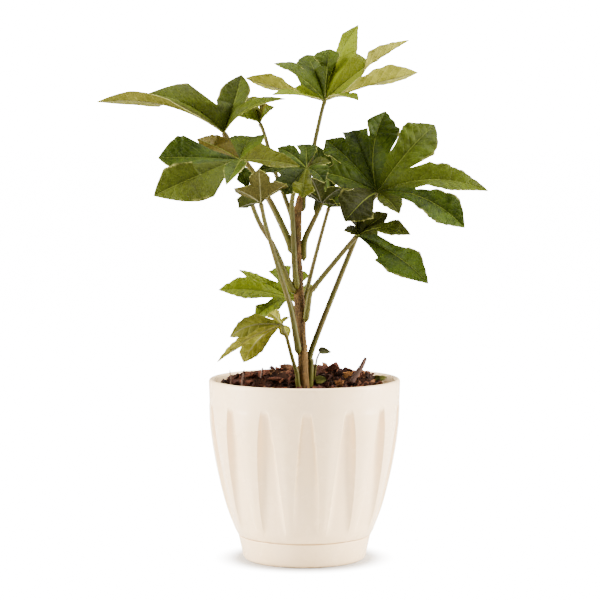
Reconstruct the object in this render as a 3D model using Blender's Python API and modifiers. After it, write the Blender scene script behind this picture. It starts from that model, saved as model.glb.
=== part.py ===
"""Fatsia japonica growing in a fluted cream planter that stands on its clip-on saucer.

Metres, +Z up. The origin is the middle of the saucer's flat underside, and the plant is seen
from -Y. Names that end in _MM hold millimetres, and the other lengths are in metres.
"""
import math
import random

import bmesh
import bpy
import numpy as np
from mathutils import Matrix, Vector, noise
from mathutils.bvhtree import BVHTree

MM = 0.001
SEAT_GAP = 0.0003
WELD = 0.000001

# Planter
RIM_RADIUS = 0.0900
RIM_TOP = 0.1705
POT_FOOT = 0.0030
WALL = 0.0026
LIP_ROUND = 0.0022
LIP_DEPTH = 0.0060
SEAM_TOP = 0.0236
DRAIN_HOLES = 6
DRAIN_RADIUS = 0.0040
DRAIN_RING = 0.0320

# Scoops pressed into the planter: arched at the top, wider and then shallower further down
FLUTE_COUNT = 14
FLUTE_TURN = 1.4
FLUTE_TOP = 0.1485
FLUTE_FOOT = 0.0285
FLUTE_DEPTH = 0.0036
FLUTE_HALF_ANGLE = 10.2
FLUTE_APEX = 0.16
FLUTE_SPREAD = 0.62
FLUTE_SHALLOWEST = 0.16
FLUTE_TOP_RUN = 16.0
FLUTE_FOOT_RUN = 14.0
RIB_SWELL = (-0.10, -0.14)
SCOOP_STEP = 0.52
SCOOP_STEP_DEPTH = 0.78
COLUMNS_PER_FLUTE = 8

# Saucer
SAUCER_TOP = 0.0222
SAUCER_TOP_RADIUS = 0.0621
SAUCER_FOOT_RADIUS = 0.0584
SAUCER_WALL = 0.0022
PLUG_GAP = 0.0006
PLUG_TAPER = 0.0012
SAUCER_SIDES = 44

# Soil and bark
SOIL_TOP = 0.1560
SOIL_SIDES = 32
SOIL_SHOULDER = 0.1500
CHORD_GAP = 0.0006
ROOT_BALL_GAP = 0.0012
BARK_REACH = 0.084
BARK_EDGE_TOP = 0.1595
BARK_RISE = 0.0175
BARK_LEAST = 0.0020
BARK_SIDES = 26
BARK_RINGS = 7
CHIP_COUNT = 28
CHIP_SEED = 11
CHIP_REACH = 0.074
HOLE_GAP = 0.0004

# Leaves
BLADE_THICKNESS = 0.0007
SHEATH_LENGTH = 0.016
TOE_LENGTH = 0.004
TOE_SHARE = 0.35
STALK_TAPER = 0.3
STALK_TIP = 0.75
LOBE_WEB = 0.53
WEB_STRETCH = 1.25
WEB_END = 0.85
FREE_EDGE = 0.95
LOBE_GAP = 0.0015
SHOULDER = (0.9, 1.2)
LOBE_WIDEST = 0.60
LOBE_POINT = 1.5
LOBE_ROUNDING = 7.0
SLIM_LOBE = 0.24
TURN_SHARE = 0.6
CREASE = 0.26
TOOTH = 0.05
TOOTH_LEAN = 0.02
TOOTH_LIFT = (-0.02, 0.06)
WEB_ROWS = (0.36, 0.70, 1.0)
TOOTH_ROWS = (0.22, 0.33, 0.48, 0.62, 0.76, 0.89)

# Outer wall of the planter above the seam, as (height, radius), from the lip down.
POT_OUTER_MM = (
    (166.5, 90.0), (147.0, 89.3), (139.5, 88.8), (128.0, 88.1), (106.0, 85.2),
    (80.0, 80.5), (52.0, 73.8), (32.0, 66.8), (23.9, 62.9),
)

# Outside of the saucer below its lip, as (radius, height), down to the flat that it stands on.
SAUCER_OUTER_MM = ((59.3, 9.5), (58.4, 4.2), (57.0, 1.7), (53.5, 0.0))

# Heights at which the root ball follows the planter's wall below its shoulder.
ROOT_BALL_MM = (140.5, 100.0, 60.0, 31.5)

# Bark of the trunk, as (x, y, z, radius), from below the soil to the growing point.
TRUNK_MM = (
    (0.3, 0.0, 118.0, 4.6), (-0.2, 0.0, 150.0, 4.9), (-0.5, 0.0, 163.0, 5.0), (-1.4, 0.0, 182.0, 4.6),
    (-1.9, 0.0, 196.0, 4.5), (-3.0, 0.0, 216.0, 4.2), (-4.4, 0.0, 238.0, 4.6), (-5.9, 0.0, 258.0, 4.1),
    (-7.4, 0.0, 283.0, 4.3), (-7.5, 1.0, 300.0, 3.8), (-7.0, 1.0, 318.0, 3.9), (-5.0, 1.5, 336.0, 3.2),
    (-4.0, 1.5, 343.0, 1.8),
)

# Twigs and litter that stick out of the bark, as (x, y, z, radius) from foot to end.
LITTER_MM = {
    "twig_right": ((46, 6, 169, 2.0), (53, 7, 180, 1.8), (58, 8, 189, 1.1)),
    "stick_far_left": ((-69, -10, 161, 0.5), (-69, -10, 171, 0.5), (-70, -10, 179, 0.35)),
    "stick_left": ((-59, -12, 163, 0.8), (-58, -12, 171, 0.7), (-57, -12, 177, 0.5)),
    "stick_middle_left": ((-41, 4, 170, 0.8), (-40, 4, 176, 0.7), (-39.5, 4, 180, 0.5)),
    "leaf_litter": ((-22, -6, 172, 2.4), (-23, -6, 178, 1.8), (-25.5, -6, 183.5, 0.5)),
}

# A seedling by the foot of the trunk, as (x, y, z, radius), and its leaf's size.
SEEDLING_MM = (
    (9.5, 8.0, 170.0, 0.7), (11.0, 8.0, 184.0, 0.6), (13.0, 8.0, 191.0, 0.6), (15.0, 8.0, 195.0, 0.6),
)
SEEDLING_LEAF_MM = (12.0, 2.6, 5.0)
SEEDLING_LEAF_TILT = 8.0
SEEDLING_LEAF_SHIFT = 0.35


class Leaf:
    """One leaf: where its lobes meet, which way its upper face looks, its lobes and its stalk.

    A lobe is (tip x, tip y, tip z, rise of the rib over the straight line, half width as a
    share of the length, turn about the rib in degrees), and some add the rib's bow to its left
    and the share of the length at which the lobe is widest. Lobes run anticlockwise as seen
    from above the blade. The stalk has the radius base at its foot and end at its tip, and web
    is the share of the shorter lobe up to which two lobes are joined. Lengths are in millimetres.
    """

    def __init__(self, name, junction, upward, lobes, petiole, base, end, web=LOBE_WEB):
        self.name = name
        self.junction = Vector(junction) * MM
        self.upward = Vector(upward).normalized()
        self.lobes = lobes
        self.petiole = [Vector(p) * MM for p in petiole]
        self.base = base * MM
        self.end = end * MM
        self.web = web


LEAVES = (
    Leaf(
        "top", junction=(19, 20, 431), upward=(0, -0.4, 0.9), base=2.6, end=1.4,
        lobes=(
            (50, -14, 431, 4, 0.27, -10),
            (106, 6, 457, 4, 0.2, -50, -5, 0.75),
            (99, 30, 488, 3, 0.2, -50, 1, 0.52),
            (52, 72, 504, 2, 0.17, 0, 4, 0.5),
            (24, 46, 480, 4, 0.34, 0),
            (2, 62, 475, 4, 0.28, 0),
            (-29, 30, 466, 5, 0.3, 10),
            (-55, 4, 452, 0, 0.2, 50, 2, 0.7),
            (-30, -16, 436, 3, 0.15, 0),
        ),
        petiole=(
            (-1.5, 6.4, 331.3), (-0.9, 6.5, 341.6), (1.5, 8.0, 360.5), (6.0, 10.0, 375.5),
            (12.0, 13.0, 402.5), (16.5, 17.0, 422.0),
        ),
    ),
    Leaf(
        "upper_left", junction=(-75, -14, 401), upward=(-0.1, -0.5, 0.85), base=2.6, end=1.4, web=0.45,
        lobes=(
            (-17, -30, 432, 10, 0.11, 0),
            (-59, 12, 455, 3, 0.25, 0, -3, 0.64),
            (-145, -18, 437, 9, 0.25, 0),
            (-188, -68, 429, 13, 0.085, 62, 0, 0.78),
        ),
        petiole=(
            (-12.3, -4.7, 291.5), (-14.9, -6.0, 300.9), (-25.5, -3.0, 324.0), (-34.0, 0.0, 340.0),
            (-49.0, 8.0, 365.0), (-64.0, 4.0, 384.5), (-71.0, -8.5, 395.0),
        ),
    ),
    Leaf(
        "upper_centre", junction=(-42, 20, 410), upward=(0, -0.6, 0.8), base=2.0, end=1.1,
        lobes=(
            (-28, 8, 425, 2, 0.29, 0),
            (-38, 30, 429, 2, 0.34, 0),
            (-50, 44, 435, 2, 0.31, 0),
            (-61, 6, 416, 2, 0.34, 0),
        ),
        petiole=(
            (-11.1, 5.9, 311.6), (-12.2, 7.0, 322.8), (-21.0, 12.0, 347.0), (-27.5, 14.0, 364.0),
            (-33.5, 16.0, 385.0), (-38.5, 17.0, 402.0),
        ),
    ),
    Leaf(
        "left", junction=(-59, -45, 376), upward=(-0.2, -0.7, 0.7), base=2.6, end=1.5, web=0.58,
        lobes=(
            (-4, -74, 371, 3, 0.14, 0),
            (-47, 4, 397, 5, 0.27, 0),
            (-100, -16, 395, 3, 0.16, -20),
            (-134, -46, 378, 2, 0.28, 0, 0, 0.73),
            (-137, -68, 344, 7, 0.31, -22, 5, 0.5),
            (-70, -106, 355, 5, 0.18, 0, 4, 0.5),
            (-52, -58, 352, 5, 0.32, 0),
        ),
        petiole=(
            (-10.9, -4.9, 254.0), (-15.4, -8.0, 263.6), (-28.5, -14.0, 295.0), (-41.5, -22.0, 317.0),
            (-51.0, -32.0, 343.0), (-57.5, -41.5, 368.0),
        ),
    ),
    Leaf(
        "centre", junction=(2, -40, 368), upward=(0, -0.6, 0.8), base=2.4, end=1.4,
        lobes=(
            (1, -12, 390, 4, 0.3, 0),
            (-25, -22, 387, 4, 0.26, 0),
            (-45, -44, 365, 4, 0.22, 0),
            (-26, -62, 357, 3, 0.44, 0),
            (-2, -76, 343, 6, 0.45, 0),
            (18, -66, 356, 4, 0.3, 0),
            (24, -34, 374, 3, 0.26, 0),
        ),
        petiole=(
            (-7.2, -6.8, 258.9), (-8.9, -8.5, 273.0), (-10.5, -10.0, 306.0), (-11.5, -20.0, 338.5),
            (-6.0, -32.0, 355.0), (-2.0, -35.5, 361.5),
        ),
    ),
    Leaf(
        "lower_front_left", junction=(-40, -50, 337), upward=(0, 0.6, 0.8), base=2.8, end=1.5, web=0.85,
        lobes=(
            (-61, -36, 332, 2, 0.3, 0),
            (-64, -76, 351, 2, 0.16, 0),
            (-41, -92, 369, 2, 0.15, 0),
            (-16, -74, 355, 2, 0.16, 0),
        ),
        petiole=(
            (-6.1, -6.5, 197.7), (-7.0, -7.5, 204.4), (-13.5, -14.0, 239.5), (-24.5, -24.0, 276.5),
            (-35.5, -40.0, 315.5), (-38.5, -45.5, 329.0),
        ),
    ),
    Leaf(
        "right_large", junction=(68, 0, 345), upward=(0.15, -0.8, 0.6), base=3.0, end=1.7, web=0.5,
        lobes=(
            (87, -42, 327, 3, 0.24, 0),
            (147, -42, 314, 13, 0.29, 0, 4),
            (171, -10, 347, 19, 0.14, 0),
            (123, 22, 408, 12, 0.28, 0),
            (77, 34, 421, 3, 0.26, 0, 8),
            (46, 34, 403, 4, 0.34, 0),
            (20, 22, 394, 5, 0.31, 0),
            (13, -10, 365, 4, 0.24, 0),
            (32, -44, 322, 8, 0.28, 0),
        ),
        petiole=(
            (5.7, 4.5, 175.8), (6.2, 5.0, 185.2), (8.5, 5.0, 201.5), (47.5, 10.0, 300.0),
            (59.5, 9.0, 330.0), (64.0, 6.0, 339.0),
        ),
    ),
    Leaf(
        "right_low", junction=(49, -14, 305), upward=(0.3, -0.7, 0.65), base=2.6, end=1.6,
        lobes=(
            (113, -62, 264, 6, 0.2, 30, 1, 0.6),
            (98, -30, 307, 10, 0.26, 0),
            (78, -12, 326, 3, 0.26, 0),
            (42, -10, 331, 2, 0.26, 0),
            (36, -34, 311, 2, 0.22, 0),
        ),
        petiole=(
            (1.7, -5.0, 227.7), (3.3, -5.5, 239.0), (5.5, -6.0, 252.0), (11.5, -6.0, 260.0),
            (43.0, -11.0, 298.5),
        ),
    ),
    Leaf(
        "right_rear", junction=(23, 26, 330), upward=(0, -0.8, 0.6), base=2.2, end=1.3,
        lobes=(
            (45, 22, 336, 2, 0.24, 0),
            (44, 44, 358, 2, 0.24, 0),
            (27, 60, 384, 2, 0.26, 0),
            (11, 46, 389, 2, 0.24, 0),
            (3, 36, 356, 2, 0.24, 0),
            (12, 20, 338, 2, 0.24, 0),
        ),
        petiole=(
            (-0.2, 5.6, 240.8), (2.4, 8.0, 253.0), (8.0, 12.0, 275.5), (15.5, 18.0, 303.5),
            (20.5, 24.0, 321.0),
        ),
    ),
    Leaf(
        "centre_right", junction=(16, 6, 335), upward=(0, 0.6, 0.8), base=2.2, end=1.2,
        lobes=(
            (11, 20, 321, 4, 0.2, 0),
            (-1, -10, 347, 2, 0.24, 0),
            (6, -27, 360, 2, 0.26, 0),
            (34, -13, 350, 2, 0.24, 0),
            (31, 9, 332, 2, 0.24, 0),
        ),
        petiole=(
            (-0.6, 1.0, 284.6), (-0.4, 1.5, 294.9), (1.5, 2.0, 304.0), (12.0, 2.0, 326.0),
        ),
    ),
    Leaf(
        "lower_rear_left", junction=(-14, 22, 244), upward=(-0.1, -0.7, 0.7), base=2.4, end=1.5,
        lobes=(
            (6, 16, 233, 2, 0.24, 0),
            (13, 34, 254, 2, 0.24, 0),
            (0, 50, 268, 3, 0.26, 0),
            (-24, 54, 272, 3, 0.36, 0),
            (-63, 44, 270, 3, 0.07, -50),
            (-81, 12, 253, 5, 0.22, 0),
            (-46, 4, 226, 6, 0.31, 0),
        ),
        petiole=(
            (-1.4, 7.3, 194.4), (-1.4, 9.2, 200.9), (-4.0, 20.0, 219.0), (-12.0, 29.0, 236.5),
        ),
    ),
    Leaf(
        "lower_left", junction=(-21, -22, 223), upward=(-0.3, 0.75, 0.6), base=2.0, end=1.2,
        lobes=(
            (-15, -12, 210, 2, 0.32, 0),
            (-57, -16, 187, 8, 0.36, 0),
            (-81, -32, 189, 6, 0.075, 0),
            (-69, -40, 213, 8, 0.17, 60),
            (-32, -34, 235, 3, 0.32, 0),
            (-14, -22, 230, 2, 0.22, 0),
        ),
        petiole=(
            (-6.5, -5.0, 168.3), (-7.3, -5.5, 176.8), (-11.0, -9.0, 188.5), (-17.0, -25.0, 212.5),
            (-20.0, -29.0, 217.5),
        ),
    ),
)


def clear_scene():
    """Empties the file before the model is made."""
    for old in list(bpy.data.objects):
        bpy.data.objects.remove(old)


def collection(name, hidden=False):
    """A collection in the scene."""
    made = bpy.data.collections.new(name)
    made.hide_render = hidden
    bpy.context.scene.collection.children.link(made)
    return made


def material(name, colour, roughness):
    """A plain coloured material."""
    made = bpy.data.materials.new(name)
    made.use_nodes = True
    shader = made.node_tree.nodes["Principled BSDF"]
    shader.inputs["Base Color"].default_value = (*colour, 1.0)
    shader.inputs["Roughness"].default_value = roughness
    shader.inputs["Metallic"].default_value = 0.0
    made.diffuse_color = (*colour, 1.0)
    return made


def place(name, mesh, home, paint=None, smooth=True):
    """An object holding this mesh."""
    made = bpy.data.objects.new(name, mesh)
    home.objects.link(made)
    if paint:
        mesh.materials.clear()
        mesh.materials.append(paint)
    if smooth:
        mesh.shade_smooth()
    return made


def mesh_from(edited, name):
    """The mesh of a bmesh, which is then freed."""
    mesh = bpy.data.meshes.new(name)
    edited.to_mesh(mesh)
    edited.free()
    return mesh


def evaluated_mesh(source):
    """The object's mesh with its modifiers applied, in the world's frame."""
    bpy.context.view_layer.update()
    graph = bpy.context.evaluated_depsgraph_get()
    mesh = bpy.data.meshes.new_from_object(source.evaluated_get(graph))
    mesh.transform(source.matrix_world)
    return mesh


def replace_with_mesh(source, name, home, paint=None, smooth=True):
    """Swaps an object for a plain mesh object of the same shape, its caps welded on."""
    edited = bmesh.new()
    edited.from_mesh(evaluated_mesh(source))
    bpy.data.objects.remove(source)
    bmesh.ops.remove_doubles(edited, verts=edited.verts, dist=WELD)
    bmesh.ops.recalc_face_normals(edited, faces=edited.faces)
    return place(name, mesh_from(edited, name), home, paint, smooth)


def fuse(solid, loose, paint):
    """Joins every object of a collection to a solid, and removes the collection."""
    join = solid.modifiers.new("Fuse", "BOOLEAN")
    join.operation = "UNION"
    join.operand_type = "COLLECTION"
    join.collection = loose
    join.solver = "EXACT"
    joined = evaluated_mesh(solid)
    joined.materials.clear()
    joined.materials.append(paint)
    solid.modifiers.clear()
    solid.data = joined
    for extra in list(loose.objects):
        bpy.data.objects.remove(extra)
    bpy.data.collections.remove(loose)


def bore(solid, holes):
    """Cuts each of the holes out of a solid."""
    for hole in holes:
        cut = solid.modifiers.new("Hole_" + hole.name, "BOOLEAN")
        cut.operation = "DIFFERENCE"
        cut.object = hole
        cut.solver = "EXACT"


def as_cutter(made):
    """Hides an object that only cuts holes."""
    made.hide_render = True
    made.display_type = "WIRE"
    return made


def turned(name, profile, steps, home):
    """A solid of revolution about Z from (radius, height) points, outer side first."""
    mesh = bpy.data.meshes.new(name)
    points = [(radius, 0.0, height) for radius, height in profile]
    mesh.from_pydata(points, [(i, i + 1) for i in range(len(points) - 1)], [])
    made = place(name, mesh, home, smooth=False)
    screw = made.modifiers.new("Turn", "SCREW")
    screw.steps = screw.render_steps = steps
    screw.use_merge_vertices = True
    screw.merge_threshold = WELD
    screw.use_smooth_shade = True
    return made


def smooth_path(points, cuts):
    """Rows on a smooth curve through the given rows, with this many steps to each stretch."""
    rows = [np.array(p, float) for p in points]
    rows = [2 * rows[0] - rows[1]] + rows + [2 * rows[-1] - rows[-2]]
    found = []
    for a, b, c, d in zip(rows, rows[1:], rows[2:], rows[3:]):
        for i in range(cuts):
            t = i / cuts
            bend = (2 * a - 5 * b + 4 * c - d) * t * t + (3 * b - a - 3 * c + d) * t ** 3
            found.append(b + 0.5 * ((c - a) * t + bend))
    found.append(rows[-2])
    return found


def mm_rows(rows, extra=0.0):
    """(x, y, z, radius) rows in metres from rows in millimetres, each radius this much larger."""
    return [(x * MM, y * MM, z * MM, radius * MM + extra) for x, y, z, radius in rows]


def tube(name, rows, sides_level, home, paint=None):
    """A curve with round section along (x, y, z, radius) rows in metres."""
    data = bpy.data.curves.new(name, "CURVE")
    data.dimensions = "3D"
    data.bevel_mode = "ROUND"
    data.bevel_depth = 1.0
    data.bevel_resolution = sides_level
    data.use_fill_caps = True
    spline = data.splines.new("POLY")
    spline.points.add(len(rows) - 1)
    for point, row in zip(spline.points, rows):
        point.co = (*row[:3], 1.0)
        point.radius = row[3]
    spline.use_smooth = True
    if paint:
        data.materials.append(paint)
    made = bpy.data.objects.new(name, data)
    home.objects.link(made)
    return made


def flute_shift(angle, height):
    """Where the scoops move a point of the wall: its new angle in degrees, and how far inwards.

    The wall's columns crowd towards the edges of each scoop, so that the edges stay crisp.
    """
    pitch = 360.0 / FLUTE_COUNT
    middle = round(angle / pitch) * pitch
    offset = angle - middle
    column = round(abs(offset) * COLUMNS_PER_FLUTE / pitch)
    fall = (FLUTE_TOP - height) / (FLUTE_TOP - FLUTE_FOOT)
    if fall < 0.0:
        return angle, 0.0
    fall = min(fall, 1.0)
    edge = FLUTE_HALF_ANGLE * (FLUTE_APEX + (1 - FLUTE_APEX) * fall ** FLUTE_SPREAD)
    swell = math.sin(math.pi * fall ** FLUTE_SPREAD)
    depth = FLUTE_DEPTH * (FLUTE_SHALLOWEST + (1 - FLUTE_SHALLOWEST) * swell)
    depth *= min(fall * FLUTE_TOP_RUN, 1.0) * min((1 - fall) * FLUTE_FOOT_RUN, 1.0)
    placed = (0.0, edge * SCOOP_STEP, edge, (edge + pitch / 2) / 2, pitch / 2)[column]
    pressed = (1.0, SCOOP_STEP_DEPTH, 0.0, *RIB_SWELL)[column] * depth
    return middle + math.copysign(placed, offset), pressed


def press_scoops(made):
    """Presses the scoops into the planter's wall."""
    for vertex in made.data.vertices:
        x, y, z = vertex.co
        angle, pressed = math.degrees(math.atan2(x, -y)), 0.0
        if z > SEAM_TOP:
            angle, pressed = flute_shift(angle, z)
        radius, turn = math.hypot(x, y) - pressed, math.radians(angle + FLUTE_TURN)
        vertex.co = (radius * math.sin(turn), -radius * math.cos(turn), z)


def drain_cutters(home):
    """Short rods where the planter's floor is open for water."""
    found = []
    for i in range(DRAIN_HOLES):
        turn = Matrix.Rotation(2 * math.pi * i / DRAIN_HOLES, 4, "Z")
        at = turn @ Matrix.Translation((DRAIN_RING, 0.0, POT_FOOT + WALL / 2))
        rod = bmesh.new()
        bmesh.ops.create_cone(rod, cap_ends=True, segments=10, radius1=DRAIN_RADIUS,
                              radius2=DRAIN_RADIUS, depth=2 * WALL, matrix=at)
        name = f"cut_drain_{i}"
        found.append(as_cutter(place(name, mesh_from(rod, name), home, smooth=False)))
    return found


def pot(home, cutters, paint):
    """The planter: a turned wall and floor with scoops pressed in, open at the top."""
    outer = [(radius * MM, height * MM) for height, radius in POT_OUTER_MM]
    middle, spring = RIM_RADIUS - LIP_ROUND, RIM_TOP - LIP_ROUND
    shoulder = LIP_ROUND * math.sqrt(0.5)
    lip_top = (middle, RIM_TOP)
    lip_outside = [(middle + shoulder, spring + shoulder), (RIM_RADIUS, spring)]
    lip_inside = [(middle - LIP_ROUND, spring)]
    plug = SAUCER_TOP_RADIUS - SAUCER_WALL - PLUG_GAP
    foot = SAUCER_FOOT_RADIUS - SAUCER_WALL - PLUG_TAPER
    base = [(plug, SEAM_TOP), (foot, POT_FOOT), (0.0, POT_FOOT)]
    floor = POT_FOOT + WALL
    inside = [(0.0, floor), (foot - WALL, floor), (plug - WALL, SEAM_TOP)]
    inside += [(radius - WALL, height) for radius, height in reversed(outer[1::2])]
    inside.append((RIM_RADIUS - WALL, RIM_TOP - LIP_DEPTH))
    profile = [lip_top] + lip_outside + outer + base + inside + lip_inside + [lip_top]
    made = turned("pot_turned", profile, FLUTE_COUNT * COLUMNS_PER_FLUTE, home)
    made = replace_with_mesh(made, "pot", home, paint)
    press_scoops(made)
    bore(made, drain_cutters(cutters))


def saucer(home, paint):
    """The shallow dish that the planter plugs into."""
    floor = POT_FOOT - SEAT_GAP
    lip = (SAUCER_TOP_RADIUS - SAUCER_WALL / 2, SAUCER_TOP + SAUCER_WALL / 3)
    outside = [(radius * MM, height * MM) for radius, height in SAUCER_OUTER_MM]
    inside = [(0.0, floor), (SAUCER_FOOT_RADIUS - SAUCER_WALL, floor),
              (SAUCER_TOP_RADIUS - SAUCER_WALL, SAUCER_TOP)]
    profile = [lip, (SAUCER_TOP_RADIUS, SAUCER_TOP)] + outside + [(0.0, 0.0)] + inside + [lip]
    made = turned("saucer_turned", profile, SAUCER_SIDES, home)
    replace_with_mesh(made, "saucer", home, paint)


def inner_radius(height):
    """Inner face of the planter's wall at a height, as it is between the scoops."""
    rows = [(h * MM, r * MM) for h, r in POT_OUTER_MM]
    for (high, wide), (low, slim) in zip(rows, rows[1:]):
        if high >= height >= low:
            return slim + (wide - slim) * (height - low) / (high - low) - WALL
    return RIM_RADIUS - WALL


def soil(home, paint, trunk_hole):
    """The root ball under the bark, with a plain hole for the trunk."""
    profile = [(0.0, SOIL_TOP)]
    profile += [(inner_radius(h) - CHORD_GAP, h) for h in (SOIL_TOP, SOIL_SHOULDER)]
    inset = FLUTE_DEPTH + ROOT_BALL_GAP
    profile += [(inner_radius(h * MM) - inset, h * MM) for h in ROOT_BALL_MM]
    plug = SAUCER_TOP_RADIUS - SAUCER_WALL - PLUG_GAP - WALL - CHORD_GAP
    foot = SAUCER_FOOT_RADIUS - SAUCER_WALL - PLUG_TAPER - WALL - CHORD_GAP
    floor = POT_FOOT + WALL + SEAT_GAP
    profile += [(plug, SEAM_TOP), (foot, floor), (0.0, floor)]
    made = turned("soil_turned", profile, SOIL_SIDES, home)
    made = replace_with_mesh(made, "soil", home, paint)
    bore(made, [trunk_hole])


def bark_height(x, y):
    """Top of the bark over a point of the planter: a lumpy mound, higher behind and right."""
    dome = max(1 - (math.hypot(x, y) / BARK_REACH) ** 2, 0.0)
    lumps = noise.noise(Vector((x * 95, y * 95, 3.1))) * 0.0042
    lumps += noise.noise(Vector((x * 210, y * 210, 7.7))) * 0.0026
    lean = (max(0.0, x) * 0.044 + y * 0.025) * dome
    return BARK_EDGE_TOP + BARK_RISE * dome ** 0.7 + lean + lumps


def bark_bed(home, paint):
    """The bed under the chips: rings of points on the mound, closed flat below."""
    bed = bmesh.new()
    low = SOIL_TOP + SEAT_GAP
    edge = inner_radius(SOIL_TOP) - CHORD_GAP
    rings = []
    for k in range(1, BARK_RINGS + 1):
        radius = edge * (k / BARK_RINGS) ** 0.9
        shift = 0.5 if k % 2 and k < BARK_RINGS else 0.0
        ring = []
        for i in range(BARK_SIDES):
            angle = 2 * math.pi * (i + shift) / BARK_SIDES
            x, y = radius * math.sin(angle), -radius * math.cos(angle)
            ring.append(bed.verts.new((x, y, max(bark_height(x, y), low + BARK_LEAST))))
        rings.append(ring)
    crown = bed.verts.new((0, 0, bark_height(0, 0)))
    under = [bed.verts.new((v.co.x, v.co.y, low)) for v in rings[-1]]
    for i in range(BARK_SIDES):
        j = (i + 1) % BARK_SIDES
        bed.faces.new((crown, rings[0][i], rings[0][j]))
        bed.faces.new((rings[-1][i], under[i], under[j], rings[-1][j]))
        for inner, outer in zip(rings, rings[1:]):
            bed.faces.new((inner[i], outer[i], outer[j], inner[j]))
    bed.faces.new(reversed(under))
    bmesh.ops.recalc_face_normals(bed, faces=bed.faces)
    bmesh.ops.triangulate(bed, faces=bed.faces)
    return place("bark_mulch", mesh_from(bed, "bark_mulch"), home, paint, smooth=False)


def bark_chip(draw, home):
    """One flat chip lying askew on the mound: a box that narrows at one end."""
    angle, reach = draw.uniform(0, 2 * math.pi), CHIP_REACH * math.sqrt(draw.uniform(0.03, 1.0))
    x, y = reach * math.sin(angle), reach * math.cos(angle)
    size = (draw.uniform(0.009, 0.018), draw.uniform(0.005, 0.009), draw.uniform(0.0022, 0.0042))
    turn = Matrix.Rotation(draw.uniform(0, 2 * math.pi), 4, "Z")
    turn @= Matrix.Rotation(draw.uniform(-0.7, 0.7), 4, "X")
    turn @= Matrix.Rotation(draw.uniform(-0.5, 0.5), 4, "Y")
    box = bmesh.new()
    for vertex in bmesh.ops.create_cube(box, size=1.0)["verts"]:
        across, along, up = vertex.co
        across *= 0.65 if along > 0 else 1.0
        up *= 0.6 if across > 0 else 1.0
        vertex.co = (across * size[0], along * size[1], up * size[2])
    middle = Vector((x, y, bark_height(x, y) + size[2] / 4))
    bmesh.ops.transform(box, matrix=Matrix.Translation(middle) @ turn, verts=box.verts)
    place("chip", mesh_from(box, "chip"), home, smooth=False)


def bark(home, paint, holes):
    """The layer of bark: a lumpy bed with chips, twigs and leaf litter grown into it."""
    made = bark_bed(home, paint)
    loose = collection("Chips")
    draw = random.Random(CHIP_SEED)
    for _ in range(CHIP_COUNT):
        bark_chip(draw, loose)
    for name, rows in LITTER_MM.items():
        replace_with_mesh(tube(name, mm_rows(rows), 0, loose), name, loose, smooth=False)
    fuse(made, loose, paint)
    bore(made, holes)


def seedling(home, paint):
    """A weed's stalk with one small leaf on its end, a flattened ball, as one body."""
    stem = tube("seedling_stem", mm_rows(SEEDLING_MM), 0, home)
    stem = replace_with_mesh(stem, "seedling", home, paint)
    x, y, z = SEEDLING_MM[-1][:3]
    middle = Vector((x + SEEDLING_LEAF_MM[0] * SEEDLING_LEAF_SHIFT, y, z)) * MM
    ball = bmesh.new()
    bmesh.ops.create_uvsphere(ball, u_segments=8, v_segments=5, radius=0.5)
    bmesh.ops.scale(ball, vec=Vector(SEEDLING_LEAF_MM) * MM, verts=ball.verts)
    tilt = Matrix.Rotation(math.radians(SEEDLING_LEAF_TILT), 4, "Y")
    bmesh.ops.transform(ball, matrix=Matrix.Translation(middle) @ tilt, verts=ball.verts)
    loose = collection("Seedling_leaf")
    place("seedling_leaf", mesh_from(ball, "seedling_leaf"), loose)
    fuse(stem, loose, paint)


def stalk_end(leaf):
    """Where a stalk's last point lies: just clear of the underside of the blade."""
    surface = BVHTree.FromPolygons(*blade_mesh(leaf))
    along = (leaf.junction - leaf.petiole[-1]).normalized()
    aside = along.orthogonal().normalized()
    clear = BLADE_THICKNESS / 2 + SEAT_GAP + 0.0001
    rings = ((0.0, STALK_TIP), (0.0007, 0.85), (0.0015, 0.9), (0.003, 1.0))
    back = 0.0
    while back < 3 * leaf.end:
        near = []
        for step, share in rings:
            for turn in range(16):
                out = Matrix.Rotation(math.pi * turn / 8, 3, along) @ aside * leaf.end * share
                near.append(surface.find_nearest(leaf.junction - along * (back + step) + out)[3])
        if min(near) > clear:
            break
        back += 0.0001
    return leaf.junction - along * back


def petiole_rows(leaf, extra=0.0, cuts=2):
    """A leaf stalk's path: a thick clasping foot, then a slim stalk that ends at the blade."""
    points = [np.array(p) for p in leaf.petiole + [stalk_end(leaf)]]
    lengths = [0.0]
    for a, b in zip(points, points[1:]):
        lengths.append(lengths[-1] + float(np.linalg.norm(b - a)))
    rows = []
    for point, run in zip(points, lengths):
        foot = math.exp(-((run / SHEATH_LENGTH) ** 2))
        slim = leaf.end * (1 + STALK_TAPER * (1 - run / lengths[-1]))
        rows.append((*point, slim + (leaf.base - slim) * foot))
    rows = smooth_path(rows, cuts)
    rows[-1][3] *= STALK_TIP
    down = (rows[0] - rows[1])[:3]
    toe = rows[0][:3] + down / np.linalg.norm(down) * TOE_LENGTH
    rows.insert(0, np.array((*toe, leaf.base * TOE_SHARE)))
    return [(*row[:3], row[3] + extra) for row in rows]


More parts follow.
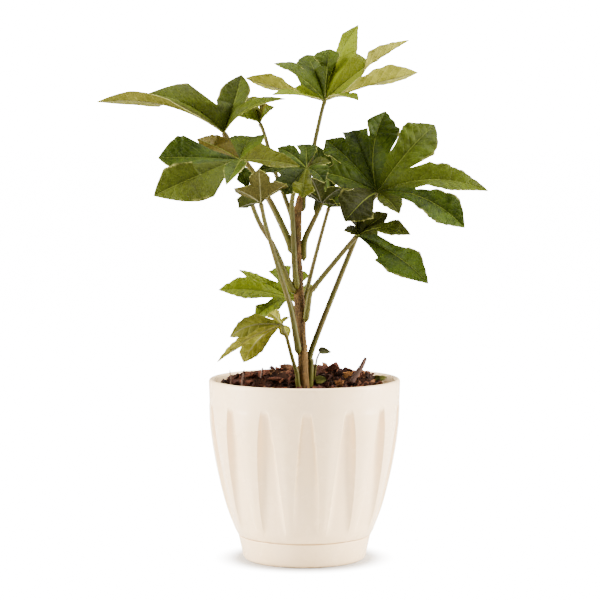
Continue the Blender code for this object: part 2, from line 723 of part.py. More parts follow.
class Lobe:
    """One lobe of a blade: its rib from the junction to the tip, and the face it lies in."""

    def __init__(self, leaf, x, y, z, rise, width, turn, sweep=0.0, widest=LOBE_WIDEST):
        self.origin = leaf.junction
        self.tip = Vector((x, y, z)) * MM
        self.reach = self.tip - leaf.junction
        self.length = self.reach.length
        self.across = leaf.upward.cross(self.reach).normalized()
        self.face = self.reach.cross(self.across).normalized()
        self.rise = rise * MM
        self.width = width * self.length
        self.turn = math.radians(turn)
        self.sweep = sweep * MM
        self.widest = widest
        self.point = LOBE_POINT + LOBE_ROUNDING * max(width - SLIM_LOBE, 0.0)

    def rib(self, share):
        """A point of the rib, which bows over and beside the straight line to the tip."""
        bow = self.face * self.rise + self.across * self.sweep
        return self.origin + self.reach * share + bow * (4 * share * (1 - share))

    def frame(self, share):
        """The directions across the lobe and out of its upper face, turned about the rib."""
        turn = Matrix.Rotation(self.turn * min(share / TURN_SHARE, 1.0), 3, self.reach)
        return turn @ self.across, turn @ self.face

    def half_width(self, share):
        """Half the lobe's width without teeth: round to its widest, then drawn to a point."""
        if share <= self.widest:
            return self.width * math.sin(math.pi * share / (2 * self.widest))
        past = (share - self.widest) / (1 - self.widest)
        return self.width * (1 - past ** self.point)


def web_points(leaf, left, right):
    """The edge that two neighbouring lobes share, and how far it runs along their ribs."""
    reach = leaf.web * min(left.length, right.length)
    face = (left.face + right.face).normalized()
    found = []
    for part in WEB_ROWS:
        a, b = left.rib(part * reach / left.length), right.rib(part * reach / right.length)
        middle = (a + b) / 2 - leaf.junction
        middle *= min(WEB_END * part * reach / middle.length, WEB_STRETCH)
        found.append(leaf.junction + middle + face * (b - a).length * 0.5 * CREASE)
    return found, reach


def kept_apart(leaf, lobes, at, point):
    """The point, moved back to its own side of the gaps to the neighbouring lobes."""
    for other in (at - 1, (at + 1) % len(lobes)):
        apart = (lobes[other].reach.normalized() - lobes[at].reach.normalized()).normalized()
        over = (point - leaf.junction).dot(apart) + LOBE_GAP
        if over > 0:
            point = point - apart * over
    return point


def blade_mesh(leaf):
    """The open middle surface of a palmate blade, as points and triangles.

    Each lobe has a rib and two edges. Rows near the junction share their edge points with the
    neighbouring lobe, which makes the web, and rows beyond it step in and out as teeth.
    """
    points = [leaf.junction.copy()]
    faces = []
    lobes = [Lobe(leaf, *values) for values in leaf.lobes]

    def add(point):
        points.append(point)
        return len(points) - 1

    webs = []
    for left, right in zip(lobes, lobes[1:]):
        row, reach = web_points(leaf, left, right)
        webs.append(([add(point) for point in row], reach))

    for at, lobe in enumerate(lobes):
        sides = []
        for side, web in ((-1, at - 1), (1, at)):
            if 0 <= web < len(webs):
                sides.append(webs[web])
                continue
            run = leaf.web * lobe.length
            row = []
            for part in WEB_ROWS:
                out = lobe.width * FREE_EDGE * part
                free = lobe.rib(part * leaf.web) + lobe.across * side * out + lobe.face * out * CREASE
                row.append(add(kept_apart(leaf, lobes, at, free)))
            sides.append((row, run))
        (right_row, right_run), (left_row, left_run) = sides
        start = (right_run + left_run) / 2 / lobe.length
        rib = [0] + [add(lobe.rib(part * start)) for part in WEB_ROWS]
        edges = [(-1, [0] + right_row), (1, [0] + left_row)]
        first = []
        for _, row in edges:
            apart = (points[row[-1]] - points[rib[-1]]).length
            first.append(min(apart * SHOULDER[0], lobe.width * SHOULDER[1]))
        for k, part in enumerate(TOOTH_ROWS):
            share = start + (1 - start) * part
            rib.append(add(lobe.rib(share)))
            across, face = lobe.frame(share)
            out_tooth = k % 2
            here = lobe.rib(min(share + TOOTH_LEAN * out_tooth, 0.99))
            fade = (1 - part) ** 3
            for (side, row), start_width in zip(edges, first):
                out = lobe.half_width(share) * (1 - fade) + start_width * fade
                out *= 1 + TOOTH * (1 if out_tooth else -1)
                edge = here + across * side * out + face * out * (CREASE + TOOTH_LIFT[out_tooth])
                row.append(add(kept_apart(leaf, lobes, at, edge)))
        end = add(lobe.tip)
        for side, row in edges:
            strip = [(rib[0], rib[1], row[1])]
            for k in range(1, len(rib) - 1):
                strip += [(rib[k], rib[k + 1], row[k + 1]), (rib[k], row[k + 1], row[k])]
            strip.append((rib[-1], end, row[-1]))
            faces += strip if side < 0 else [triangle[::-1] for triangle in strip]
    return points, faces


def blade(leaf, home, paint):
    """A leaf blade: the middle surface thickened."""
    points, faces = blade_mesh(leaf)
    edited = bmesh.new()
    made = [edited.verts.new(point) for point in points]
    for triangle in faces:
        edited.faces.new([made[i] for i in triangle])
    bmesh.ops.recalc_face_normals(edited, faces=edited.faces)
    name = "blade_" + leaf.name
    placed = place(name, mesh_from(edited, name), home, paint)
    thick = placed.modifiers.new("Thickness", "SOLIDIFY")
    thick.thickness = BLADE_THICKNESS
    thick.offset = 0.0


def stem_hole(name, rows, sides_level, home):
    """A cutter for the plain hole that a stem stands in, run on a little past its foot."""
    first, second = np.array(rows[0][:3]), np.array(rows[1][:3])
    below = first + (first - second) / np.linalg.norm(first - second) * 2 * HOLE_GAP
    rod = tube("cut_" + name, [(*below, rows[0][3])] + rows, sides_level, home)
    return as_cutter(replace_with_mesh(rod, "cut_" + name, home))


def main():
    clear_scene()
    parts = collection("Fatsia_japonica")
    cutters = collection("Cutters", hidden=True)
    cream = material("cream_plastic", (0.83, 0.74, 0.65), 0.22)
    earth = material("peat_soil", (0.060, 0.032, 0.020), 0.95)
    chips = material("bark_chips", (0.16, 0.060, 0.030), 0.85)
    wood = material("trunk_bark", (0.20, 0.115, 0.060), 0.75)
    stalk = material("leaf_stalk", (0.21, 0.19, 0.070), 0.5)
    green = material("leaf_green", (0.085, 0.13, 0.018), 0.32)
    pale = material("seedling_green", (0.16, 0.22, 0.04), 0.5)

    pot(parts, cutters, cream)
    saucer(parts, cream)
    trunk_hole = stem_hole("trunk", mm_rows(smooth_path(TRUNK_MM, 1), HOLE_GAP), 3, cutters)
    holes = [trunk_hole, stem_hole("seedling", mm_rows(SEEDLING_MM[:2], HOLE_GAP), 0, cutters)]
    for leaf in LEAVES:
        if leaf.petiole[0].z < BARK_EDGE_TOP + 2 * BARK_RISE:
            holes.append(stem_hole(leaf.name, petiole_rows(leaf, HOLE_GAP), 1, cutters))
    soil(parts, earth, trunk_hole)
    bark(parts, chips, holes)

    tube("main_stem", mm_rows(smooth_path(TRUNK_MM, 1)), 3, parts, wood)
    for leaf in LEAVES:
        tube("petiole_" + leaf.name, petiole_rows(leaf), 1, parts, stalk)
        blade(leaf, parts, green)
    seedling(parts, pale)


main()
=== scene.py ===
"""Fatsia japonica in a fluted cream planter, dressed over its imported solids.

Metres, +Z up, and the plant is seen from -Y. Names that end in _MM hold millimetres.
"""
import math
import random

import bmesh
import bpy
import numpy as np
from mathutils import Matrix, Vector, noise


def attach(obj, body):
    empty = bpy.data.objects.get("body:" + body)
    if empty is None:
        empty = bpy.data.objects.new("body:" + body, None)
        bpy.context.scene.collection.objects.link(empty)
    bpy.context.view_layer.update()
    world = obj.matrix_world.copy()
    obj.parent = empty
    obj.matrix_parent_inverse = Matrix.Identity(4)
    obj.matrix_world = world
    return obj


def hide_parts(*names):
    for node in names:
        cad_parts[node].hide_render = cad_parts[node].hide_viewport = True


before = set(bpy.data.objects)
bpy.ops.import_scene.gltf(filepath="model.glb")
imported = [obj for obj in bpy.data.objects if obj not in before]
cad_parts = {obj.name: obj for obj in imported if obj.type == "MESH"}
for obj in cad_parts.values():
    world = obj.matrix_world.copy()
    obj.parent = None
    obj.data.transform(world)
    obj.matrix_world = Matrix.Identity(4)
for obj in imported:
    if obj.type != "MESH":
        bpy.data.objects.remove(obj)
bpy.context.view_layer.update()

# Studio. The pot stands on a wide sheet of white paper between two tall soft lights at its sides,
# with a broad soft light above. The backdrop and the paper are lit brighter than the plant, so that
# both look nearly white, and round the pot's foot the paper carries a painted shadow. The camera is a
# long lens 2.2 m away, tilted down a little.
PAPER_RADIUS = 30.0
PAPER_GLOW = 0.72
PAPER_OVER_BACKDROP = 1.12
# The painted shadow round the pot's foot: inside this span of distance from the middle, in metres, the
# paper's colour is painted darker and its glow fades.
PAINTED_SHADOW_SPAN = (0.060, 0.090)
BACKDROP = 20.0
ROOM_LIGHT = 0.4
ROOM_MIRRORED = 0.3
CAMERA_AT = (-0.0042, -2.2, 0.412)
CAMERA_DOWN = math.radians(4.36)
CAMERA_LENS = 141.0
SOFT_LIGHTS = (
    # place, aim, width, height, watts, colour
    ((-1.5, -0.2, 0.7), (0.0, 0.0, 0.2), 0.8, 1.5, 142.0, (1.0, 0.965, 0.91)),
    ((1.5, -0.1, 0.7), (0.0, 0.0, 0.2), 0.8, 1.5, 146.0, (1.0, 0.965, 0.91)),
    ((0.2, 0.3, 2.1), (0.0, 0.0, 0.35), 1.4, 1.4, 80.0, (1.0, 0.985, 0.96)),
    ((-0.4, -2.2, 1.2), (0.0, 0.0, 0.3), 1.2, 0.9, 3.0, (1.0, 0.97, 0.93)),
)


def put(name, data, paints=()):
    """An object in the scene that holds this data, with these materials in its slots."""
    made = bpy.data.objects.new(name, data)
    bpy.context.scene.collection.objects.link(made)
    for paint in paints:
        data.materials.append(paint)
    return made


class Recipe:
    """The nodes of one material or of one shared effect, added a step at a time."""

    def __init__(self, tree):
        self.tree = tree
        self.shader = tree.nodes.get("Principled BSDF")

    def link(self, source, target):
        """Links a node's output to an input."""
        self.tree.links.new(source, target)

    def feed(self, **sources):
        """Links sockets to the shader's inputs by name."""
        for key, source in sources.items():
            self.link(source, self.shader.inputs[key.replace("_", " ")])

    def add(self, kind, inputs, **settings):
        """A node, its settings, and its inputs by name or number, each a value or a link."""
        made = self.tree.nodes.new("ShaderNode" + kind)
        for key, value in settings.items():
            setattr(made, key, value)
        for key, value in inputs.items():
            if isinstance(value, bpy.types.NodeSocket):
                self.link(value, made.inputs[key])
            else:
                made.inputs[key].default_value = value
        return made

    def sum(self, operation, *values):
        """A Math node's result."""
        return self.add("Math", dict(enumerate(values)), operation=operation).outputs[0]

    def times(self, value, factor):
        """One value times another."""
        return self.sum("MULTIPLY", value, factor)

    def most(self, first, *others):
        """The largest of these values."""
        for value in others:
            first = self.sum("MAXIMUM", first, value)
        return first

    def step(self, value, low, high, start=0.0, end=1.0):
        """Start below low, end above high, and a smooth run between them."""
        inputs = dict(enumerate((value, low, high, start, end)))
        return self.add("MapRange", inputs, interpolation_type="SMOOTHSTEP").outputs[0]

    def blend(self, share, first, second):
        """The colour between two colours."""
        inputs = {0: share, 6: first, 7: second}
        for key in (6, 7):
            if not isinstance(inputs[key], bpy.types.NodeSocket):
                inputs[key] = (*inputs[key], 1.0)
        return self.add("Mix", inputs, data_type="RGBA").outputs[2]

    def coats(self, colour, *coats):
        """A colour under coats of (mask of where it shows, how strongly, colour)."""
        for mask, strength, shade in coats:
            share = mask if strength == 1.0 else self.times(mask, strength)
            colour = self.blend(share, colour, shade)
        return colour

    def place(self):
        """The point in the part's own frame."""
        return self.add("TexCoord", {}).outputs["Object"]

    def kept(self, name, kind="Vector"):
        """What the mesh keeps under this name at its points or corners."""
        return self.add("Attribute", {}, attribute_name=name).outputs[kind]

    def parts(self, vector):
        """A vector's X, Y and Z."""
        return self.add("SeparateXYZ", {"Vector": vector}).outputs

    def clouds(self, vector, scale, detail=3.0, **inputs):
        """Soft noise with about this many lumps to the unit of the vector."""
        values = {"Vector": vector, "Scale": scale, "Detail": detail, **inputs}
        return self.add("TexNoise", values).outputs["Fac"]

    def bump(self, height, depth_mm):
        """The normal of a relief this deep."""
        return self.add("Bump", {"Height": height, "Distance": depth_mm / 1000.0}).outputs["Normal"]


def finish(name, **values):
    """A material with one Principled shader, its plain values set, and the recipe of its nodes."""
    made = bpy.data.materials.new(name)
    made.use_nodes = True
    recipe = Recipe(made.node_tree)
    for key, value in values.items():
        recipe.shader.inputs[key.replace("_", " ")].default_value = value
    return made, recipe


paper, recipe = finish("studio_paper", Roughness=0.9)
pulp = recipe.clouds(recipe.place(), 1000 / 6.0, 4.0)
away = recipe.add("VectorMath", {0: recipe.place()}, operation="LENGTH").outputs["Value"]
# Painted shadow: near the pot's foot the paper is painted darker grey, and its glow fades.
colour = recipe.coats(
    (0.85, 0.85, 0.85), (pulp, 1.0, (0.88, 0.88, 0.88)),
    (recipe.step(away, *PAINTED_SHADOW_SPAN, 0.5, 0.0), 1.0, (0.30, 0.30, 0.32)))
recipe.feed(Base_Color=colour)
glow = recipe.add("Emission", {"Strength": BACKDROP * PAPER_OVER_BACKDROP}).outputs[0]
seen = recipe.add("LightPath", {}).outputs["Is Camera Ray"]
share = recipe.times(seen, recipe.step(away, *PAINTED_SHADOW_SPAN, 0.0, PAPER_GLOW))
lit = recipe.add("MixShader", {0: share, 1: recipe.shader.outputs[0], 2: glow})
recipe.link(lit.outputs[0], paper.node_tree.nodes["Material Output"].inputs["Surface"])
disc = bmesh.new()
bmesh.ops.create_circle(disc, cap_ends=True, segments=96, radius=PAPER_RADIUS)
floor_mesh = bpy.data.meshes.new("studio_floor")
disc.to_mesh(floor_mesh)
disc.free()
floor = put("studio_floor", floor_mesh, [paper])

world = bpy.data.worlds.new("studio_air")
world.use_nodes = True
recipe = Recipe(world.node_tree)
path = recipe.add("LightPath", {}).outputs
air = world.node_tree.nodes["Background"].inputs
air["Color"].default_value = (1.0, 1.0, 1.0, 1.0)
strength = recipe.step(path["Is Glossy Ray"], 0.0, 1.0, ROOM_LIGHT, ROOM_MIRRORED)
strength = recipe.sum("ADD", recipe.times(path["Is Camera Ray"], BACKDROP), strength)
recipe.link(strength, air["Strength"])
bpy.context.scene.world = world

for number, (at, aim, wide, tall, watts, colour) in enumerate(SOFT_LIGHTS):
    data = bpy.data.lights.new(f"soft_light_{number}", "AREA")
    data.shape = "RECTANGLE"
    data.size, data.size_y = wide, tall
    data.energy = watts
    data.color = colour
    lamp = put(data.name, data)
    lamp.location = at
    lamp.rotation_euler = (Vector(aim) - Vector(at)).to_track_quat("-Z", "Y").to_euler()

camera_data = bpy.data.cameras.new("camera")
camera_data.lens = CAMERA_LENS
camera_data.sensor_width = 36.0
camera = put("camera", camera_data)
camera.location = CAMERA_AT
camera.rotation_euler = (math.pi / 2 - CAMERA_DOWN, 0.0, 0.0)
bpy.context.scene.camera = camera


# Saucer. A shallow dish injection-moulded in the same cream plastic as the planter, which plugs
# into it. The moulding is glossy, with a faint ripple where the plastic cooled. Near its foot and at
# the seam with the planter it is painted darker in patches, for the shade that falls there and a
# little dust where hands and water don't reach.
SAUCER_TOP = 0.0222
SAUCER_TOP_RADIUS = 0.0621
SAUCER_WALL = 0.0022
SAUCER_LIP_ROUND = 0.0007
SAUCER_FLOOR = 0.0027
SAUCER_OUTER_MM = (
    (62.1, 21.6), (59.3, 9.5), (58.4, 4.2), (57.6, 2.4), (56.4, 1.0), (54.6, 0.2), (53.5, 0.0),
)
SAUCER_INNER_FOOT = 0.0562
SAUCER_INNER_EASE = 0.0006
SAUCER_COLUMNS = 192
SEAM_HEIGHT = 0.0232
# How far the painted shade and dust reach about the seam and above the foot, in metres.
SEAM_DUST_AND_SHADE = 0.0022
FOOT_DUST_AND_SHADE = 0.012
CREAM = (0.93, 0.69, 0.41)
CREAM_WARM = (0.93, 0.68, 0.38)
# The colour of the painted shade and dust at the foot and the seam.
DUST_AND_SHADE = (0.42, 0.33, 0.25)


def shared_effect(name, inputs, outputs):
    """An empty shader group with these inputs, a plain value or None for a vector, and outputs."""
    tree = bpy.data.node_groups.new(name, "ShaderNodeTree")
    for label, value in inputs.items():
        kind = "NodeSocketVector" if value is None else "NodeSocketFloat"
        made = tree.interface.new_socket(label, in_out="INPUT", socket_type=kind)
        if value is not None:
            made.default_value = value
    for label in outputs:
        tree.interface.new_socket(label, in_out="OUTPUT", socket_type="NodeSocketFloat")
    start = tree.nodes.new("NodeGroupInput")
    end = tree.nodes.new("NodeGroupOutput")
    return tree, Recipe(tree), start.outputs, end.inputs


def use(recipe, tree, **inputs):
    """Places a shared effect in a material and returns its outputs."""
    made = recipe.tree.nodes.new("ShaderNodeGroup")
    made.node_tree = tree
    for key, value in inputs.items():
        socket = made.inputs[key.replace("_", " ")]
        if isinstance(value, bpy.types.NodeSocket):
            recipe.link(value, socket)
        else:
            socket.default_value = value
    return made.outputs


# Soft, uneven patches: two sizes of clouds over each other, from 0 to 1.
patches, recipe, given, out = shared_effect(
    "Patches", {"Vector": None, "Size": 10.0, "Low": 0.4, "High": 0.6}, ["Mask"])
scale = recipe.sum("DIVIDE", 1000.0, given["Size"])
wide = recipe.clouds(given["Vector"], scale, 4.0)
fine = recipe.clouds(given["Vector"], recipe.times(scale, 3.7))
both = recipe.sum("ADD", recipe.times(wide, 0.7), recipe.times(fine, 0.3))
recipe.link(recipe.step(both, given["Low"], given["High"]), out["Mask"])


def patchy(recipe, size, low, high):
    """Where the patches of a material lie, this large in millimetres."""
    return use(recipe, patches, Vector=recipe.place(), Size=size, Low=low, High=high)["Mask"]


cream_moulding, recipe = finish("cream_moulding", Roughness=0.24, IOR=1.49)
place = recipe.place()
height_above = recipe.parts(place)["Z"]
# Painted shade with a little dust: darker, in patches, at the foot and about the seam.
at_foot = recipe.step(height_above, 0.0, FOOT_DUST_AND_SHADE, 1.0, 0.0)
from_seam = recipe.sum("ABSOLUTE", recipe.sum("SUBTRACT", height_above, SEAM_HEIGHT))
at_seam = recipe.step(from_seam, 0.0, SEAM_DUST_AND_SHADE, 1.0, 0.0)
dust_and_shade = recipe.times(recipe.most(at_foot, at_seam), patchy(recipe, 9.0, 0.52, 0.74))
colour = recipe.coats(
    CREAM, (patchy(recipe, 60.0, 0.35, 0.65), 1.0, CREAM_WARM), (dust_and_shade, 0.16, DUST_AND_SHADE))
gloss = recipe.step(patchy(recipe, 24.0, 0.3, 0.7), 0.0, 1.0, 0.2, 0.3)
finer = recipe.times(recipe.clouds(place, 1000 / 1.2, 1.0), 0.06)
ripple = recipe.sum("ADD", recipe.clouds(place, 1000 / 14.0, 1.0), finer)
recipe.feed(Base_Color=colour, Roughness=gloss, Normal=recipe.bump(ripple, 0.22))


def smooth_mesh(name, shape):
    """The smooth mesh of a closed shape, with its faces turned outwards."""
    bmesh.ops.recalc_face_normals(shape, faces=shape.faces)
    mesh = bpy.data.meshes.new(name)
    shape.to_mesh(mesh)
    shape.free()
    mesh.shade_smooth()
    return mesh


def bridge(mesh, rings):
    """Faces between neighbouring rings of points. A ring of one point closes that end as a fan."""
    for low, high in zip(rings, rings[1:]):
        count = max(len(low), len(high))
        for i in range(count):
            j = (i + 1) % count
            corners = [low[i % len(low)], low[j % len(low)], high[j % len(high)], high[i % len(high)]]
            mesh.faces.new(list(dict.fromkeys(corners)))


def turned_skin(name, profile, columns, paints, shift=None):
    """A closed surface of revolution about Z, from (radius, height) points run up the outside.

    A radius of 0 at either end closes that end with a fan. Shift takes a column's number and a
    height, and returns its angle from the front in degrees and how far inwards it goes.
    """
    mesh = bmesh.new()
    rings = []
    for radius, height in profile:
        if radius == 0.0:
            rings.append([mesh.verts.new((0.0, 0.0, height))])
            continue
        ring = []
        for i in range(columns):
            angle, pressed = i * 360.0 / columns, 0.0
            if shift:
                angle, pressed = shift(i, height)
            turn, out = math.radians(angle), radius - pressed
            ring.append(mesh.verts.new((out * math.sin(turn), -out * math.cos(turn), height)))
        rings.append(ring)
    bridge(mesh, rings)
    return put(name, smooth_mesh(name, mesh), paints)


def rounded(middle, radius, start, end, count):
    """Points on an arc about (radius, height) middle, from one angle to another in degrees."""
    found = []
    for i in range(count):
        angle = math.radians(start + (end - start) * i / (count - 1))
        found.append((middle[0] + radius * math.cos(angle), middle[1] + radius * math.sin(angle)))
    return found


lip = (SAUCER_TOP_RADIUS - SAUCER_LIP_ROUND, SAUCER_TOP)
inside = SAUCER_TOP_RADIUS - SAUCER_WALL
profile = [(0.0, 0.0)] + [(radius / 1000, height / 1000) for radius, height in reversed(SAUCER_OUTER_MM)]
profile += rounded(lip, SAUCER_LIP_ROUND, 0, 90, 5)
profile += [(inside + SAUCER_INNER_EASE, SAUCER_TOP + SAUCER_INNER_EASE), (inside, SAUCER_TOP)]
profile += [(SAUCER_INNER_FOOT, SAUCER_FLOOR), (0.0, SAUCER_FLOOR)]
saucer = turned_skin("saucer_dish", profile, SAUCER_COLUMNS, [cream_moulding])
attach(saucer, "root")
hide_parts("saucer")


# Planter. A tapered pot of the same plastic, blow-moulded thin, with a round rim and fourteen arched
# scoops pressed into the wall. Each scoop has a crisp edge, is narrow at its top and widens
# downwards, and the wall between two scoops swells a little.
RIM_RADIUS = 0.0900
RIM_TOP = 0.1705
LIP_ROUND = 0.0022
POT_WALL = 0.0026
POT_FLOOR = 0.0030
SEAM_TOP = 0.0239
PLUG_RADIUS = 0.0592
PLUG_FOOT = 0.0550
POT_OUTER_MM = (
    (62.9, 23.9), (66.8, 32.0), (73.8, 52.0), (80.5, 80.0), (85.2, 106.0), (88.1, 128.0),
    (88.8, 139.5), (89.3, 147.0), (90.0, 166.5),
)
FLUTE_COUNT = 14
FLUTE_TURN = 1.4
FLUTE_TOP = 0.1500
FLUTE_FOOT = 0.0285
FLUTE_DEPTH = 0.0066
FLUTE_HALF_ANGLE = 10.2
FLUTE_APEX = 0.16
FLUTE_SPREAD = 0.62
FLUTE_SHALLOWEST = 0.16
# How quickly a scoop deepens below its top and above its foot, and how flat its bottom is.
FLUTE_ENDS = (18, 12)
FLUTE_FLAT = 5
RIB_SWELL = 0.16
ROWS_PER_STRETCH = 9
# Columns of the wall over half a scoop, as shares of its half width, then over half a rib.
SCOOP_COLUMNS = (0.0, 0.15, 0.30, 0.44, 0.57, 0.69, 0.80, 0.88, 0.94, 0.98, 1.0)
RIB_COLUMNS = (0.06, 0.18, 0.38, 0.68, 1.0)
HALF_COLUMNS = len(SCOOP_COLUMNS) + len(RIB_COLUMNS) - 1


def smooth_rows(points, cuts):
    """Rows on a smooth curve through the given rows, with this many steps to each stretch."""
    rows = [np.array(p, float) for p in points]
    rows = [2 * rows[0] - rows[1]] + rows + [2 * rows[-1] - rows[-2]]
    found = []
    for a, b, c, d in zip(rows, rows[1:], rows[2:], rows[3:]):
        for i in range(cuts):
            t = i / cuts
            bend = (2 * a - 5 * b + 4 * c - d) * t * t + (3 * b - a - 3 * c + d) * t ** 3
            found.append(b + 0.5 * ((c - a) * t + bend))
    found.append(rows[-2])
    return found


def ease(value):
    """A smooth run from 0 to 1."""
    value = min(max(value, 0.0), 1.0)
    return value * value * (3 - 2 * value)


def scooped(column, height):
    """A wall column's angle from the front at a height, and how far the scoops press it in."""
    pitch = 360.0 / FLUTE_COUNT
    flute, step = divmod(column, 2 * HALF_COLUMNS)
    side = 1 if step <= HALF_COLUMNS else -1
    step = step if side > 0 else 2 * HALF_COLUMNS - step
    middle = FLUTE_TURN + pitch * (flute if side > 0 else flute + 1)
    fall = min(max((FLUTE_TOP - height) / (FLUTE_TOP - FLUTE_FOOT), 0.0), 1.0)
    edge = FLUTE_HALF_ANGLE * (FLUTE_APEX + (1 - FLUTE_APEX) * fall ** FLUTE_SPREAD)
    swell = math.sin(math.pi * fall ** FLUTE_SPREAD)
    depth = FLUTE_DEPTH * (FLUTE_SHALLOWEST + (1 - FLUTE_SHALLOWEST) * swell)
    depth *= ease(fall * FLUTE_ENDS[0]) * ease((1 - fall) * FLUTE_ENDS[1]) if height > SEAM_TOP else 0.0
    if step < len(SCOOP_COLUMNS):
        share = SCOOP_COLUMNS[step]
        return middle + side * edge * share, depth * (1 - share ** FLUTE_FLAT)
    share = RIB_COLUMNS[step - len(SCOOP_COLUMNS)]
    return middle + side * (edge + (pitch / 2 - edge) * share), -depth * RIB_SWELL * ease(share)


outer = [tuple(row) for row in smooth_rows(np.array(POT_OUTER_MM) / 1000, ROWS_PER_STRETCH)]
lip = (RIM_RADIUS - LIP_ROUND, RIM_TOP - LIP_ROUND)
profile = [(0.0, POT_FLOOR), (PLUG_FOOT - 0.001, POT_FLOOR), (PLUG_FOOT, POT_FLOOR + 0.001)]
profile += [(PLUG_RADIUS, SEAM_TOP - 0.0004)] + outer + rounded(lip, LIP_ROUND, 0, 180, 13)
profile.append((RIM_RADIUS - POT_WALL, RIM_TOP - 0.006))
profile += [(radius - POT_WALL, height) for radius, height in reversed(outer[:-ROWS_PER_STRETCH:3])]
profile += [(PLUG_FOOT - POT_WALL, POT_FLOOR + POT_WALL), (0.0, POT_FLOOR + POT_WALL)]
planter = turned_skin("planter_wall", profile, FLUTE_COUNT * 2 * HALF_COLUMNS, [cream_moulding], scooped)
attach(planter, "root")
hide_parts("pot")


# Root ball. Dark peat with pale perlite, hidden by the bark. Its solid is kept.
peat, recipe = finish("damp_peat", Roughness=0.95)
crumbs = patchy(recipe, 5.0, 0.35, 0.7)
grit = recipe.add("TexVoronoi", {"Vector": recipe.place(), "Scale": 210.0}).outputs["Distance"]
colour = recipe.coats(
    (0.01694, 0.00924, 0.00616), (crumbs, 1.0, (0.05775, 0.03234, 0.02079)),
    (recipe.step(grit, 0.08, 0.13, 1.0, 0.0), 1.0, (0.385, 0.3619, 0.308)))
recipe.feed(Base_Color=colour, Normal=recipe.bump(crumbs, 1.5))
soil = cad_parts["soil"]
soil.data.materials.clear()
soil.data.materials.append(peat)


# Trunk. One woody stem, thin and brown, with swollen scars where old leaves came off, corky flecks
# and shallow splits along it. It stands in the root ball.
TRUNK_MM = (
    (0.3, 0.0, 118.0, 4.6), (-0.2, 0.0, 150.0, 5.0), (-0.5, 0.0, 163.0, 5.2), (-1.4, 0.0, 182.0, 4.9),
    (-1.9, 0.0, 196.0, 4.8), (-3.0, 0.0, 216.0, 4.5), (-4.4, 0.0, 238.0, 4.9), (-5.9, 0.0, 258.0, 4.9),
    (-7.4, 0.0, 283.0, 5.0), (-7.5, 1.0, 300.0, 4.6), (-7.0, 1.0, 318.0, 4.4), (-5.0, 1.5, 336.0, 3.4),
    (-4.0, 1.5, 343.0, 1.8),
)
TRUNK_SIDES = 48
# The bark is paler near the ground, up to these lengths of the trunk in millimetres.
PALE_FOOT = (66.0, 96.0)
# Old leaf scars, as (height, angle of the middle in degrees, half width in degrees).
SCARS = (
    (179, -40, 100), (191, 130, 95), (204, 10, 110), (213, -110, 90), (226, 60, 100), (236, -30, 100),
    (247, 170, 110), (262, 20, 90), (272, -100, 100), (290, 70, 100), (305, -50, 100), (322, 120, 90),
)
# A scar sags by this much in its middle and is this wide, in millimetres.
SCAR_SAG, SCAR_WIDTH = 2.4, 1.1
# The swelling under a scar and the groove in it, then ridges and lumps, as shares of the radius.
SCAR_RELIEF = (0.10, 0.06)
RIDGES, LUMPS = 0.055, 0.07


def stem_skin(name, rows, sides, paints, relief=None):
    """A stem about a path of (x, y, z, radius) rows in metres, closed at both ends.

    Relief(run, share, angle) gives the factor on the radius at a point, from the length run, the
    share of the path and the angle about it, which starts at the front. The point attribute
    stem_place keeps the run and the way round in millimetres, and the share.
    """
    points = np.array([row[:3] for row in rows], float)
    steps = np.linalg.norm(np.diff(points, axis=0), axis=1)
    runs = np.concatenate([[0.0], np.cumsum(steps)])
    front = Vector((0.0, -1.0, 0.0))
    mesh = bmesh.new()
    layer = mesh.verts.layers.float_vector.new("stem_place")
    rings = []
    for i, row in enumerate(rows):
        ahead = Vector(points[min(i + 1, len(rows) - 1)] - points[max(i - 1, 0)]).normalized()
        front = (front - ahead * front.dot(ahead)).normalized()
        right = ahead.cross(front)
        share = runs[i] / runs[-1]
        ring = []
        for k in range(sides):
            angle = 2 * math.pi * k / sides
            out = row[3] * (relief(runs[i], share, angle) if relief else 1.0)
            at = Vector(points[i]) + (front * math.cos(angle) + right * math.sin(angle)) * out
            vertex = mesh.verts.new(at)
            around = min(angle, 2 * math.pi - angle) * row[3]
            vertex[layer] = (runs[i] * 1000, around * 1000, share)
            ring.append(vertex)
        rings.append(ring)
    bridge(mesh, rings)
    mesh.faces.new(rings[0])
    mesh.faces.new(rings[-1])
    return put(name, smooth_mesh(name, mesh), paints)


# Fibres that run along a stem: a streak mask from 0 to 1, stretched along the way given.
fibres, recipe, given, out = shared_effect(
    "Fibres", {"Place": None, "Length": 12.0, "Width": 0.8, "Sharpness": 0.2}, ["Streaks"])
parts = recipe.parts(given["Place"])
drawn = recipe.add("CombineXYZ", {
    "X": recipe.sum("DIVIDE", parts["X"], given["Length"]),
    "Y": recipe.sum("DIVIDE", parts["Y"], given["Width"]),
}).outputs[0]
streak = recipe.clouds(drawn, 1.0, Distortion=0.6)
low = recipe.sum("SUBTRACT", 0.5, given["Sharpness"])
high = recipe.sum("ADD", 0.5, given["Sharpness"])
recipe.link(recipe.step(streak, low, high), out["Streaks"])


def streaky(recipe, length, width, sharpness=0.2, along="stem_place"):
    """Where the fibres of a material lie, this long and wide in millimetres."""
    values = {"Length": length, "Width": width, "Sharpness": sharpness}
    return use(recipe, fibres, Place=recipe.kept(along), **values)["Streaks"]


